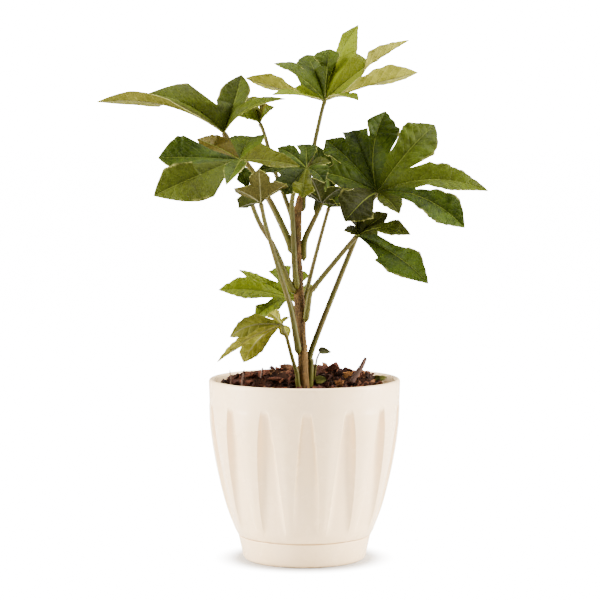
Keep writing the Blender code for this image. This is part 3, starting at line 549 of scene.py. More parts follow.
bark_skin, recipe = finish("trunk_bark", Roughness=0.75, Specular_IOR_Level=0.12)
splits = streaky(recipe, 9.0, 0.9, 0.16)
worn = patchy(recipe, 8.0, 0.42, 0.6)
flecks = recipe.add("TexVoronoi", {"Vector": recipe.place(), "Scale": 620.0}).outputs["Distance"]
run = recipe.parts(recipe.kept("stem_place"))["X"]
colour = recipe.coats(
    (0.01694, 0.0077, 0.00154),
    (splits, 1.0, (0.07315, 0.0385, 0.0077)),
    (worn, 0.5, (0.1232, 0.06545, 0.0154)),
    (patchy(recipe, 17.0, 0.52, 0.68), 0.5, (0.05005, 0.04235, 0.00308)),
    (recipe.step(flecks, 0.10, 0.22, 0.45, 0.0), 1.0, (0.1848, 0.1155, 0.0385)),
    (recipe.kept("scar", "Fac"), 0.75, (0.02695, 0.01078, 0.00462)),
    (recipe.step(run, *PALE_FOOT, 0.4, 0.0), 1.0, (0.17, 0.098, 0.028)),
)
relief = recipe.sum("ADD", splits, recipe.times(worn, 0.4))
recipe.feed(Base_Color=colour, Normal=recipe.bump(relief, 0.5))


def scar_mask(height_mm, angle):
    """How much of a leaf scar there is at a height and an angle about the trunk."""
    most = 0.0
    for scar_height, middle, half in SCARS:
        turn = (math.degrees(angle) - middle + 180) % 360 - 180
        if abs(turn) < half:
            drop = SCAR_SAG * (1 - (turn / half) ** 2)
            off = abs(height_mm - scar_height + drop)
            most = max(most, (1 - (turn / half) ** 4) * ease(1 - off / SCAR_WIDTH))
    return most


trunk_rows = smooth_rows(np.array(TRUNK_MM) / 1000, 16)
trunk_foot = TRUNK_MM[0][2]


def trunk_relief(run, share, angle):
    """Scars stand proud under a dark line, and the bark is ridged and uneven."""
    height = trunk_foot + run * 1000
    ridges = noise.noise(Vector((math.cos(angle) * 2.6, math.sin(angle) * 2.6, height * 0.11)))
    lumps = noise.noise(Vector((math.cos(angle), math.sin(angle), height * 0.05 + 9.0)))
    collar = scar_mask(height + 1.9, angle) * SCAR_RELIEF[0] - scar_mask(height, angle) * SCAR_RELIEF[1]
    return 1 + RIDGES * ridges + LUMPS * lumps + collar


trunk = stem_skin("trunk", trunk_rows, TRUNK_SIDES, [bark_skin], trunk_relief)
marks = trunk.data.attributes.new("scar", "FLOAT", "POINT")
places = trunk.data.attributes["stem_place"].data
for i in range(len(marks.data)):
    angle = 2 * math.pi * (i % TRUNK_SIDES) / TRUNK_SIDES
    marks.data[i].value = scar_mask(trunk_foot + places[i].vector[0], angle)
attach(trunk, "root")
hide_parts("main_stem")


# Leaves. Twelve palmate leaves, each on a long stalk that clasps the trunk with a swollen foot. The
# blade is thin and leathery, glossy dark green above and pale and dull below, where its colour is
# painted paler still for the light that shines through it. Some lobes carry painted light and some
# painted shade. Its lobes are folded along pale midribs, toothed along their outer half, and
# puckered between the side veins.
BLADE_THICKNESS = 0.0006
LOBE_WEB = 0.53
WEB_STRETCH = 1.25
WEB_END = 0.85
FREE_EDGE = 0.95
LOBE_GAP = 0.0015
SHOULDER = (0.9, 1.2)
LOBE_WIDEST = 0.60
LOBE_POINT = 1.5
LOBE_ROUNDING = 7.0
SLIM_LOBE = 0.24
TURN_SHARE = 0.6
CREASE = 0.26
SWELL_OF_EDGE = 0.03
EDGE_WAVE = (0.02, 0.035)
WAVE_START, WAVE_RUN = 0.19, 0.28
PUFF = 0.16
# The puckers between side veins, out of step on the two sides, with a smooth strip by the rib.
VEIN_SPACING = 0.0085
VEIN_LEAN = 0.9
VEIN_SHIFT = 0.25
PUCKER = 0.00045
SMOOTH_BY_RIB = 0.004
TOOTH_SPACING = 0.0068
TOOTH_DEPTH = 0.0013
TOOTH_SHIFT = 0.2
# How deep most blades are toothed, and the share of a tooth's length over which it rises.
TOOTHED_USUAL = 0.6
TOOTH_RISE = 0.72
ROWS_IN_WEB = 12
ROWS_BEYOND = 40
COLUMNS = (0.0, 0.06, 0.16, 0.29, 0.43, 0.57, 0.70, 0.82, 0.92, 1.0)
RIB_RADIUS = (0.0007, 0.0002)
RIB_ROWS = 20
TOE_LENGTH = 0.004
TOE_SHARE = 0.35
TOE_MIDDLE = 0.82
STALK_TAPER = 0.3
# How full most stalks are, and the reach of their swollen foot.
STALK_USUAL = (1.32, 0.016)
STALK_SIDES = 18
# A stalk's relief as shares of its radius: its ribs, the knee at its top and the groove at its foot.
STALK_RIBS, STALK_KNEE, STALK_GROOVE = 0.03, 0.22, 0.12


class Leaf:
    """One leaf: where its lobes meet, which way its upper face looks, its lobes and its stalk.

    A lobe is (tip x, tip y, tip z, rise of the rib over the straight line, half width as a
    share of the length, turn about the rib in degrees), and some add the rib's bow to its left
    and the share of the length at which the lobe is widest. Lobes run anticlockwise as seen
    from above the blade. The stalk has the radius base at its foot and end at its tip. Lengths
    are in millimetres.

    Tones say how pale and how brown each lobe is. Paleness is partly the yellower colour of new
    growth and partly painted light on lobes lit brightly or from behind, and a paleness below zero
    is painted shade on lobes that lie in the shade; shaded blades are also browner. Web is the share
    of the shorter lobe up to which two lobes are joined, and joined holds that of single lobes and
    their next. Toothed and calm are shares of the usual depth of the teeth and of the waves. Waists
    over 1 make single lobes narrow, and under 1 broad on their far side, where they lie under their
    neighbour. Sheath is how full the stalk is, and how far its swollen foot reaches, in metres.
    """

    def __init__(self, name, junction, upward, base, end, lobes, petiole, tones=None, web=LOBE_WEB,
                 toothed=TOOTHED_USUAL, calm=1.0, sheath=STALK_USUAL, joined=None, waists=None):
        self.name = name
        self.junction = Vector(junction) / 1000
        self.upward = Vector(upward).normalized()
        self.lobes = lobes
        self.petiole = [Vector(p) / 1000 for p in petiole]
        self.base = base / 1000
        self.end = end / 1000
        self.tones = tones or [(0.0, 0.0)] * len(lobes)
        self.web, self.joined = web, joined or {}
        self.toothed, self.calm, self.waists = toothed, calm, waists or {}
        self.sheath = sheath


LEAVES = (
    Leaf("top", junction=(19, 20, 431), upward=(0, -0.4, 0.9), base=2.6, end=1.4,
        toothed=0.4, calm=0.5, joined={2: 0.68, 4: 0.78}, lobes=(
        (50, -14, 431, 4, 0.27, -10), (106, 6, 457, 4, 0.2, -50, -5, 0.75),
        (99, 30, 488, 3, 0.2, -50, 1, 0.52), (52, 72, 504, 2, 0.17, 0, 4, 0.5), (24, 46, 480, 4, 0.34, 0),
        (2, 62, 475, 4, 0.28, 0), (-29, 30, 466, 5, 0.3, 10), (-55, 4, 452, 0, 0.2, 50, 2, 0.7),
        (-30, -16, 436, 3, 0.15, 0),
    ), petiole=(
        (-1.5, 6.4, 331.3), (-0.9, 6.5, 341.6), (1.5, 8.0, 360.5), (6.0, 10.0, 375.5),
        (12.0, 13.0, 402.5), (16.5, 17.0, 422.0),
    ), tones=(
        (0.4, 0), (0.6, 0), (0.6, 0.2), (0.75, 0), (0.1, 0), (0.1, 0), (0.15, 0), (0.6, 0), (0.6, 0),
    )),
    Leaf("upper_left", junction=(-75, -14, 401), upward=(-0.1, -0.5, 0.85), base=2.6, end=1.4,
        web=0.45, toothed=0.0, calm=0.15, sheath=(1.65, 0.036), joined={2: 0.9}, waists={3: 3.0}, lobes=(
        (-17, -30, 432, 10, 0.11, 0), (-59, 12, 455, 3, 0.25, 0, -3, 0.64), (-145, -18, 437, 9, 0.25, 0),
        (-188, -68, 429, 13, 0.085, 62, 0, 0.78),
    ), petiole=(
        (-12.3, -4.7, 291.5), (-14.9, -6.0, 300.9), (-25.5, -3.0, 324.0), (-34.0, 0.0, 340.0),
        (-49.0, 8.0, 365.0), (-64.0, 4.0, 384.5), (-71.0, -8.5, 395.0),
    ), tones=(
        (0.15, 0.1), (-0.1, 0.15), (0.1, 0.15), (-0.4, 0.35),
    )),
    Leaf("upper_centre", junction=(-42, 20, 410), upward=(0, -0.6, 0.8), base=2.0, end=1.1,
        toothed=0.2, sheath=(1.6, 0.016), joined={0: 0.75, 1: 0.75, 2: 0.75}, lobes=(
        (-28, 8, 425, 2, 0.29, 0), (-38, 30, 429, 2, 0.34, 0), (-50, 44, 435, 2, 0.31, 0),
        (-61, 6, 416, 2, 0.34, 0),
    ), petiole=(
        (-11.1, 5.9, 311.6), (-12.2, 7.0, 322.8), (-21.0, 12.0, 347.0), (-27.5, 14.0, 364.0),
        (-33.5, 16.0, 385.0), (-38.5, 17.0, 402.0),
    ), tones=(
        (0.3, 0.1), (0.2, 0.8), (0.3, 0.3), (0.4, 0),
    )),
    Leaf("left", junction=(-59, -45, 376), upward=(-0.2, -0.7, 0.7), base=2.6, end=1.5,
        web=0.58, toothed=0.0, calm=0.4, joined={3: 0.92, 4: 0.2}, waists={4: 0.4}, lobes=(
        (-4, -74, 371, 3, 0.14, 0), (-47, 4, 397, 5, 0.27, 0), (-100, -16, 395, 3, 0.16, -20),
        (-134, -46, 378, 2, 0.28, 0, 0, 0.73), (-137, -68, 344, 7, 0.31, -22, 5, 0.5),
        (-70, -106, 355, 5, 0.18, 0, 4, 0.5), (-52, -58, 352, 5, 0.32, 0),
    ), petiole=(
        (-10.9, -4.9, 254.0), (-15.4, -8.0, 263.6), (-28.5, -14.0, 295.0), (-41.5, -22.0, 317.0),
        (-51.0, -32.0, 343.0), (-57.5, -41.5, 368.0),
    ), tones=(
        (0.15, 0.35), (0.1, 0), (0.1, 0.8), (0, 0), (0.05, 0.2), (0.05, 0), (0, 0),
    )),
    Leaf("centre", junction=(2, -40, 368), upward=(0, -0.6, 0.8), base=2.4, end=1.4,
        sheath=(1.5, 0.02), joined={2: 0.85, 3: 0.9, 4: 0.8}, lobes=(
        (1, -12, 390, 4, 0.3, 0), (-25, -22, 387, 4, 0.26, 0), (-45, -44, 365, 4, 0.22, 0),
        (-17, -66, 345, 3, 0.44, 0), (-2, -76, 343, 6, 0.45, 0), (18, -66, 356, 4, 0.3, 0),
        (24, -34, 374, 3, 0.26, 0),
    ), petiole=(
        (-7.2, -6.8, 258.9), (-8.9, -8.5, 273.0), (-10.5, -10.0, 306.0), (-11.5, -20.0, 338.5),
        (-6.0, -32.0, 355.0), (-2.0, -35.5, 361.5),
    ), tones=(
        (0, 0), (0, 0), (-0.4, 0), (-0.5, 0), (0.25, 0.3), (0, 0), (0, 0.2),
    )),
    Leaf("lower_front_left", junction=(-40, -50, 337), upward=(0, 0.6, 0.8), base=2.8, end=1.5,
        web=0.85, toothed=0.1, calm=0.4, lobes=(
        (-61, -36, 332, 2, 0.3, 0), (-64, -76, 351, 2, 0.16, 0), (-41, -92, 369, 2, 0.15, 0),
        (-16, -74, 355, 2, 0.16, 0),
    ), petiole=(
        (-6.1, -6.5, 197.7), (-7.0, -7.5, 204.4), (-13.5, -14.0, 239.5), (-24.5, -24.0, 276.5),
        (-35.5, -40.0, 315.5), (-38.5, -45.5, 329.0),
    ), tones=(
        (-0.9, 0), (-0.45, 1.0), (-0.5, 1.0), (-0.45, 1.0),
    )),
    Leaf("right_large", junction=(68, 0, 345), upward=(0.15, -0.8, 0.6), base=3.0, end=1.7,
        web=0.5, toothed=0.8, joined={4: 0.95, 5: 0.95}, lobes=(
        (87, -42, 327, 3, 0.24, 0), (147, -42, 314, 13, 0.29, 0, 4), (171, -10, 347, 19, 0.14, 0),
        (123, 22, 408, 12, 0.28, 0), (77, 34, 421, 3, 0.26, 0, 8), (46, 34, 403, 4, 0.34, 0),
        (20, 22, 394, 5, 0.31, 0), (13, -10, 365, 4, 0.24, 0), (37, -44, 320, 8, 0.38, 0),
    ), petiole=(
        (4.6, 4.0, 158.0), (5.7, 4.5, 175.8), (6.2, 5.0, 185.2), (8.5, 5.0, 201.5), (47.5, 10.0, 300.0),
        (59.5, 9.0, 330.0), (64.0, 6.0, 339.0),
    ), tones=(
        (-0.2, 0.2), (0, 0), (0.12, 0.1), (0.1, 0.05), (0, 0), (0, 0), (0, 0), (-0.3, 0), (-0.8, 0.3),
    )),
    Leaf("right_low", junction=(49, -14, 305), upward=(0.3, -0.7, 0.65), base=2.6, end=1.6, lobes=(
        (113, -62, 264, 6, 0.2, 30, 1, 0.6), (98, -30, 307, 10, 0.26, 0), (78, -12, 326, 3, 0.26, 0),
        (46, -12, 335, 2, 0.42, 0), (36, -34, 311, 2, 0.22, 0),
    ), petiole=(
        (1.7, -5.0, 227.7), (3.3, -5.5, 239.0), (5.5, -6.0, 252.0), (11.5, -6.0, 260.0),
        (43.0, -11.0, 298.5),
    ), tones=(
        (0, 0), (0, 0.2), (-0.5, 0.3), (-0.7, 0.3), (-0.8, 0.3),
    )),
    Leaf("right_rear", junction=(23, 26, 330), upward=(0, -0.8, 0.6), base=2.2, end=1.3, lobes=(
        (45, 22, 336, 2, 0.24, 0), (44, 44, 358, 2, 0.24, 0), (27, 60, 384, 2, 0.26, 0),
        (11, 46, 389, 2, 0.24, 0), (3, 36, 356, 2, 0.24, 0), (12, 20, 338, 2, 0.24, 0),
    ), petiole=(
        (-0.2, 5.6, 240.8), (2.4, 8.0, 253.0), (8.0, 12.0, 275.5), (15.5, 18.0, 303.5),
        (20.5, 24.0, 321.0),
    )),
    Leaf("centre_right", junction=(16, 6, 335), upward=(0, 0.6, 0.8), base=2.2, end=1.2,
        sheath=(1.75, 0.024), lobes=(
        (11, 20, 321, 4, 0.2, 0), (-1, -10, 347, 2, 0.24, 0), (6, -27, 360, 2, 0.26, 0),
        (34, -13, 350, 2, 0.24, 0), (31, 9, 332, 2, 0.24, 0),
    ), petiole=(
        (-0.6, 1.0, 284.6), (-0.4, 1.5, 294.9), (1.5, 2.0, 304.0), (12.0, 2.0, 326.0),
    ), tones=(
        (-0.8, 1.0), (-0.8, 1.0), (-0.8, 1.0), (-0.9, 1.0), (-0.9, 1.0),
    )),
    Leaf("lower_rear_left", junction=(-14, 22, 244), upward=(-0.1, -0.7, 0.7), base=2.4, end=1.5, lobes=(
        (6, 16, 233, 2, 0.24, 0), (13, 34, 254, 2, 0.24, 0), (0, 50, 268, 3, 0.26, 0),
        (-24, 54, 272, 3, 0.36, 0), (-63, 44, 270, 3, 0.07, -50), (-81, 12, 253, 5, 0.22, 0),
        (-46, 4, 226, 6, 0.31, 0),
    ), petiole=(
        (-1.4, 7.3, 194.4), (-1.4, 9.2, 200.9), (-4.0, 20.0, 219.0), (-12.0, 29.0, 236.5),
    ), tones=(
        (0.5, 0), (0.5, 0), (0.3, 0), (0.3, 0), (0.4, 0), (0.55, 0), (0.35, 0),
    )),
    Leaf("lower_left", junction=(-21, -22, 223), upward=(-0.3, 0.75, 0.6), base=2.0, end=1.2, lobes=(
        (-15, -12, 210, 2, 0.32, 0), (-57, -16, 187, 8, 0.36, 0), (-81, -32, 189, 6, 0.075, 0),
        (-69, -40, 213, 8, 0.17, 60), (-32, -34, 235, 3, 0.32, 0), (-14, -22, 230, 2, 0.22, 0),
    ), petiole=(
        (-4.8, -4.0, 157.0), (-6.5, -5.0, 168.3), (-7.3, -5.5, 176.8), (-11.0, -9.0, 188.5),
        (-17.0, -25.0, 212.5), (-20.0, -29.0, 217.5),
    ), tones=(
        (0.3, 0), (0.1, 0), (0.3, 0.2), (-0.6, 0), (-0.2, 0), (0.2, 0),
    )),
)


class Lobe:
    """One lobe of a blade: its rib from the junction to the tip, and the face it lies in."""

    def __init__(self, leaf, number, x, y, z, rise, width, turn, sweep=0.0, widest=LOBE_WIDEST):
        self.origin = leaf.junction
        self.waist = leaf.waists.get(number, 1.0)
        self.tip = Vector((x, y, z)) / 1000
        self.reach = self.tip - leaf.junction
        self.length = self.reach.length
        self.across = leaf.upward.cross(self.reach).normalized()
        self.face = self.reach.cross(self.across).normalized()
        self.rise = rise / 1000
        self.width = width * self.length
        self.turn = math.radians(turn)
        self.sweep = sweep / 1000
        self.widest = widest
        self.point = LOBE_POINT + LOBE_ROUNDING * max(width - SLIM_LOBE, 0.0)

    def rib(self, share):
        """A point of the rib, which bows over and beside the straight line to the tip."""
        bow = self.face * self.rise + self.across * self.sweep
        return self.origin + self.reach * share + bow * (4 * share * (1 - share))

    def frame(self, share):
        """The directions across the lobe and out of its upper face, turned about the rib."""
        turn = Matrix.Rotation(self.turn * min(share / TURN_SHARE, 1.0), 3, self.reach)
        return turn @ self.across, turn @ self.face

    def half_width(self, share, side):
        """Half the lobe's width without teeth: round to its widest, then drawn to a point."""
        if share <= self.widest:
            waist = self.waist if side > 0 or self.waist > 1.0 else 1.0
            return self.width * math.sin(math.pi * share / (2 * self.widest)) ** waist
        past = (share - self.widest) / (1 - self.widest)
        return self.width * (1 - past ** self.point)


def web_line(leaf, left, right, web):
    """The edge that two neighbouring lobes share, and how far it runs along their ribs."""
    reach = web * min(left.length, right.length)
    face = (left.face + right.face).normalized()
    found = []
    for i in range(1, ROWS_IN_WEB + 1):
        part = i / ROWS_IN_WEB
        a, b = left.rib(part * reach / left.length), right.rib(part * reach / right.length)
        middle = (a + b) / 2 - leaf.junction
        middle *= min(WEB_END * part * reach / middle.length, WEB_STRETCH)
        found.append(leaf.junction + middle + face * (b - a).length * 0.5 * CREASE)
    return found, reach


def kept_apart(leaf, lobes, at, point, side):
    """The point, moved back to its own side of the gaps to the neighbouring lobes."""
    if lobes[at].waist < 1.0 and side > 0:
        return point
    for other in (at - 1, (at + 1) % len(lobes)):
        apart = (lobes[other].reach.normalized() - lobes[at].reach.normalized()).normalized()
        over = (point - leaf.junction).dot(apart) + LOBE_GAP
        if over > 0:
            point = point - apart * over
    return point


def tooth_at(part, free_length, phase):
    """How far a tooth stands out at a part of the free edge, from 0 to 1, leaning to the tip."""
    count = max(round(free_length / TOOTH_SPACING), 3)
    run = (part * count + phase) % 1.0
    rise = ease(run / TOOTH_RISE) if run < TOOTH_RISE else 1 - ease((run - TOOTH_RISE) / (1 - TOOTH_RISE))
    return rise * ease((part - 0.08) / 0.3) * (1 - 0.55 * part)


class Sheet:
    """A growing sheet of points and four-sided faces, each corner with its place on its lobe."""

    def __init__(self):
        self.points = []
        self.faces = []
        self.places = []
        self.tones = []

    def add(self, point):
        """A new point's number."""
        self.points.append(point)
        return len(self.points) - 1

    def strip(self, near, far, tone, flip, free):
        """Faces between two rows of (point, place) that run from the rib to the edge.

        A corner's tone is how pale and how brown it is, and its share of the way to a free edge.
        """
        for j in range(len(COLUMNS) - 1):
            corners = {}
            for k, row in ((j, near), (j, far), (j + 1, far), (j + 1, near)):
                point, place = row[k]
                corners.setdefault(point, (place, (*tone, COLUMNS[k] if free else 0.0)))
            if len(corners) < 3:
                continue
            around = list(corners.items())
            if flip:
                around.reverse()
            self.faces.append([point for point, _ in around])
            self.places += [place for _, (place, _) in around]
            self.tones += [shade for _, (_, shade) in around]


def blade_sheet(leaf):
    """The middle surface of a blade: for every lobe, rows from its rib out to both its edges."""
    sheet = Sheet()
    centre = sheet.add(leaf.junction.copy())
    lobes = [Lobe(leaf, number, *values) for number, values in enumerate(leaf.lobes)]
    webs = []
    for number, (left, right) in enumerate(zip(lobes, lobes[1:])):
        line, reach = web_line(leaf, left, right, leaf.joined.get(number, leaf.web))
        webs.append(([sheet.add(point) for point in line], reach))
    draw = random.Random(leaf.name)
    for at, lobe in enumerate(lobes):
        phase = draw.random()
        tooth_height = TOOTH_DEPTH * leaf.toothed * min(lobe.length / 0.05, 1.0)
        edges = []
        for side, web in ((-1, at - 1), (1, at)):
            if 0 <= web < len(webs):
                edges.append(webs[web])
                continue
            line = []
            for i in range(1, ROWS_IN_WEB + 1):
                part = i / ROWS_IN_WEB
                across, face = lobe.frame(part * leaf.web)
                out = lobe.width * FREE_EDGE * part
                if lobe.waist > 1.0:
                    out = lobe.half_width(part * leaf.web, side)
                free = lobe.rib(part * leaf.web) + across * side * out + face * out * CREASE
                line.append(sheet.add(kept_apart(leaf, lobes, at, free, side)))
            edges.append((line, leaf.web * lobe.length))
        start = (edges[0][1] + edges[1][1]) / 2 / lobe.length
        shares = [start * i / ROWS_IN_WEB for i in range(1, ROWS_IN_WEB + 1)]
        parts = [i / ROWS_BEYOND for i in range(1, ROWS_BEYOND)]
        shares += [start + (1 - start) * part for part in parts]
        ribs = [sheet.add(lobe.rib(share)) for share in shares]
        tip = sheet.add(lobe.tip.copy())
        free_length = (1 - start) * lobe.length
        whole = lobe.length * 1000
        for side, (line, _) in zip((-1, 1), edges):
            shoulder = (sheet.points[line[-1]] - sheet.points[ribs[ROWS_IN_WEB - 1]]).length
            shoulder = min(shoulder * SHOULDER[0], lobe.width * SHOULDER[1])
            last = [(centre, (0.0, 0.0, whole))] * len(COLUMNS)
            for i, share in enumerate(shares):
                rib = sheet.points[ribs[i]]
                across, face = lobe.frame(share)
                teeth = Vector((0, 0, 0))
                if i < ROWS_IN_WEB:
                    edge = sheet.points[line[i]]
                else:
                    part = parts[i - ROWS_IN_WEB]
                    wave = math.cos(2 * math.pi * (part - WAVE_START) / WAVE_RUN) * leaf.calm
                    fade = (1 - part) ** 3
                    out = lobe.half_width(share, side) * (1 - fade) + shoulder * fade
                    out *= 1 - SWELL_OF_EDGE * wave
                    lift = CREASE + EDGE_WAVE[0] - EDGE_WAVE[1] * wave
                    edge = kept_apart(leaf, lobes, at, rib + across * side * out + face * out * lift, side)
                    push = tooth_height * tooth_at(part, free_length, phase + side * TOOTH_SHIFT)
                    teeth = across * side * min(push, out * 0.5)
                row = []
                out = (edge - rib).length
                along = share * lobe.length
                for t in COLUMNS:
                    off = t * out
                    place = (along * 1000, side * off * 1000, whole)
                    if t == 0.0 or (t == 1.0 and i < ROWS_IN_WEB):
                        row.append((ribs[i] if t == 0.0 else line[i], place))
                        continue
                    turn = (along - off * VEIN_LEAN) / VEIN_SPACING + side * VEIN_SHIFT
                    between = abs((turn % 1.0) - 0.5) * 2
                    quiet = ease(off / SMOOTH_BY_RIB) * ease(i / 6) * ease((1 - share) * 9)
                    if i < ROWS_IN_WEB:
                        quiet *= ease((1 - t) * 3)
                    lift = PUFF * out * t * (1 - t) + PUCKER * leaf.calm * (1 - between ** 2 * 1.6) * quiet
                    point = rib.lerp(edge, t) + face * lift + teeth * ease((t - 0.55) / 0.45)
                    row.append((sheet.add(point), place))
                sheet.strip(last, row, leaf.tones[at], side < 0, i > ROWS_IN_WEB)
                last = row
            end = [(tip, (whole, 0.0, whole))] * len(COLUMNS)
            sheet.strip(last, end, leaf.tones[at], side < 0, True)
    return sheet, lobes


def keep(mesh, name, values, domain="CORNER"):
    """Keeps a vector for every corner of a mesh's faces, or for every point."""
    layer = mesh.attributes.new(name, "FLOAT_VECTOR", domain)
    layer.data.foreach_set("vector", np.array(values, float).ravel())


def settled(source):
    """Swaps an object's mesh for what its modifiers make of it."""
    bpy.context.view_layer.update()
    graph = bpy.context.evaluated_depsgraph_get()
    made = bpy.data.meshes.new_from_object(source.evaluated_get(graph))
    source.modifiers.clear()
    source.data = made


def leaf_blade(leaf, paints):
    """A blade: its sheet thickened, with paints for its upper side, its underside and its rim."""
    sheet, lobes = blade_sheet(leaf)
    mesh = bpy.data.meshes.new("leaf_" + leaf.name)
    mesh.from_pydata([tuple(p) for p in sheet.points], [], sheet.faces)
    keep(mesh, "lobe_place", sheet.places)
    keep(mesh, "lobe_tone", sheet.tones)
    mesh.shade_smooth()
    made = put("leaf_" + leaf.name, mesh, paints)
    thick = made.modifiers.new("Thickness", "SOLIDIFY")
    thick.thickness = BLADE_THICKNESS
    thick.offset = 0.0
    thick.material_offset = 1
    thick.material_offset_rim = 2
    settled(made)
    return made, lobes


def rib_cords(leaf, lobes, paints):
    """The midribs that stand out of a blade's underside, thick at the stalk and thin at the tips."""
    joined = bmesh.new()
    shades = []
    for lobe, tone in zip(lobes, leaf.tones):
        rows = []
        for i in range(RIB_ROWS + 1):
            share = 0.97 * i / RIB_ROWS
            radius = RIB_RADIUS[0] + (RIB_RADIUS[1] - RIB_RADIUS[0]) * share ** 0.7
            radius *= min(1.0, 0.55 + lobe.length / 0.12)
            _, face = lobe.frame(share)
            rows.append((*(lobe.rib(share) - face * (BLADE_THICKNESS * 0.5 + radius * 0.2)), radius))
        cord = stem_skin("rib", rows, 8, [])
        joined.from_mesh(cord.data)
        shades += [(*tone, 0.0)] * len(cord.data.vertices)
        bpy.data.objects.remove(cord)
    ribs = put("ribs_" + leaf.name, smooth_mesh("ribs_" + leaf.name, joined), paints)
    keep(ribs.data, "lobe_tone", shades, "POINT")
    return ribs


# The veins of a lobe: a midrib, side veins that lean to the tip and leave it by turns, and a fine
# net between them. Place holds millimetres along the lobe and across it, and the lobe's length.
veins, recipe, given, out = shared_effect(
    "Leaf_veins", {"Place": None, "Spacing": 8.5, "Lean": 0.9, "Width": 0.5},
    ["Midrib", "Veins", "Net", "Height"])
parts = recipe.parts(given["Place"])
wobble = recipe.clouds(given["Place"], 0.11, 1.0)
wobble = recipe.times(recipe.sum("SUBTRACT", wobble, 0.5), 5.0)
off = recipe.sum("ABSOLUTE", parts["Y"])
left = recipe.sum("GREATER_THAN", parts["Y"], 0.0)
shift = recipe.sum("SUBTRACT", recipe.times(left, 0.5), 0.25)
reach = recipe.sum("SUBTRACT", parts["X"], recipe.times(off, given["Lean"]))
reach = recipe.sum("ADD", reach, wobble)
turn = recipe.sum("ADD", recipe.sum("DIVIDE", reach, given["Spacing"]), shift)
beside = recipe.sum("ABSOLUTE", recipe.sum("SUBTRACT", recipe.sum("FRACT", turn), 0.5))
beside = recipe.times(recipe.times(beside, given["Spacing"]), 0.74)
beside = recipe.sum("SUBTRACT", recipe.times(given["Spacing"], 0.37), beside)
wide = recipe.times(given["Width"], recipe.step(off, 0.0, 26.0, 1.0, 0.45))
side_veins = recipe.step(recipe.sum("DIVIDE", beside, wide), 0.35, 1.25, 1.0, 0.0)
toward_tip = recipe.sum("DIVIDE", parts["X"], recipe.most(parts["Z"], 1.0))
mid_width = recipe.times(recipe.step(toward_tip, 0.0, 1.0, 2.3, 0.7), given["Width"])
midrib = recipe.step(recipe.sum("DIVIDE", off, mid_width), 0.45, 1.1, 1.0, 0.0)
cells = recipe.add(
    "TexVoronoi", {"Vector": given["Place"], "Scale": 0.36}, feature="DISTANCE_TO_EDGE",
    voronoi_dimensions="2D",
).outputs["Distance"]
net = recipe.step(cells, 0.02, 0.12, 1.0, 0.0)
height = recipe.most(midrib, recipe.times(side_veins, 0.6), recipe.times(net, 0.18))
for label, source in (("Midrib", midrib), ("Veins", side_veins), ("Net", net), ("Height", height)):
    recipe.link(source, out[label])

UPPER_DEEP = (0.0085, 0.0155, 0.0012)
UPPER_LIGHT = (0.026, 0.043, 0.0032)
UPPER_FLECK = (0.060, 0.085, 0.006)
UPPER_VEIN = (0.11, 0.13, 0.020)
PALE_MARGIN = (0.17, 0.165, 0.045)
# Pale lobes: yellower new growth, and painted light where a lobe is lit brightly or from behind.
YOUNG_AND_LIT_UPPER = (0.135, 0.165, 0.006)
BROWN_UPPER = (0.058, 0.040, 0.005)
SHADED_UPPER = (0.0077, 0.00847, 0.00077)

leaf_top, recipe = finish("leaf_top", Roughness=0.3, IOR=1.45, Specular_IOR_Level=0.04)
tone = recipe.parts(recipe.kept("lobe_tone"))
lines = use(recipe, veins, Place=recipe.kept("lobe_place"))
small = patchy(recipe, 4.0, 0.35, 0.7)
seen = recipe.most(lines["Midrib"], recipe.times(lines["Veins"], 0.14), recipe.times(lines["Net"], 0.08))
at_rim = recipe.step(tone["Z"], 0.86, 0.97, 0.0, 0.75)
colour = recipe.coats(
    UPPER_DEEP,
    (patchy(recipe, 22.0, 0.36, 0.66), 1.0, UPPER_LIGHT),
    (small, 0.34, UPPER_FLECK),
    # Painted light on pale lobes, then painted shade on lobes whose paleness is below zero.
    (tone["X"], 1.0, YOUNG_AND_LIT_UPPER),
    (tone["Y"], 1.0, BROWN_UPPER),
    (recipe.step(tone["X"], 0.0, -1.0), 1.0, SHADED_UPPER),
    (seen, 0.85, UPPER_VEIN),
    (recipe.times(patchy(recipe, 12.0, 0.46, 0.60), at_rim), 1.0, PALE_MARGIN),
)
gloss = recipe.step(small, 0.0, 1.0, 0.30, 0.50)
sunk = recipe.sum("SUBTRACT", recipe.times(small, 0.35), lines["Height"])
recipe.feed(Base_Color=colour, Roughness=gloss, Normal=recipe.bump(sunk, 0.6))

# The underside's own pale green, painted paler still for the light that shines through the blade.
UNDER = (0.23, 0.225, 0.026)
UNDER_SHADE = (0.13, 0.13, 0.009)
UNDER_VEIN = (0.3234, 0.3003, 0.0847)
UNDER_BROWN = (0.0616, 0.04774, 0.01001)
SHADED_UNDER = (0.01386, 0.01848, 0.000462)
SHADED_RIB = (0.03465, 0.03234, 0.00462)

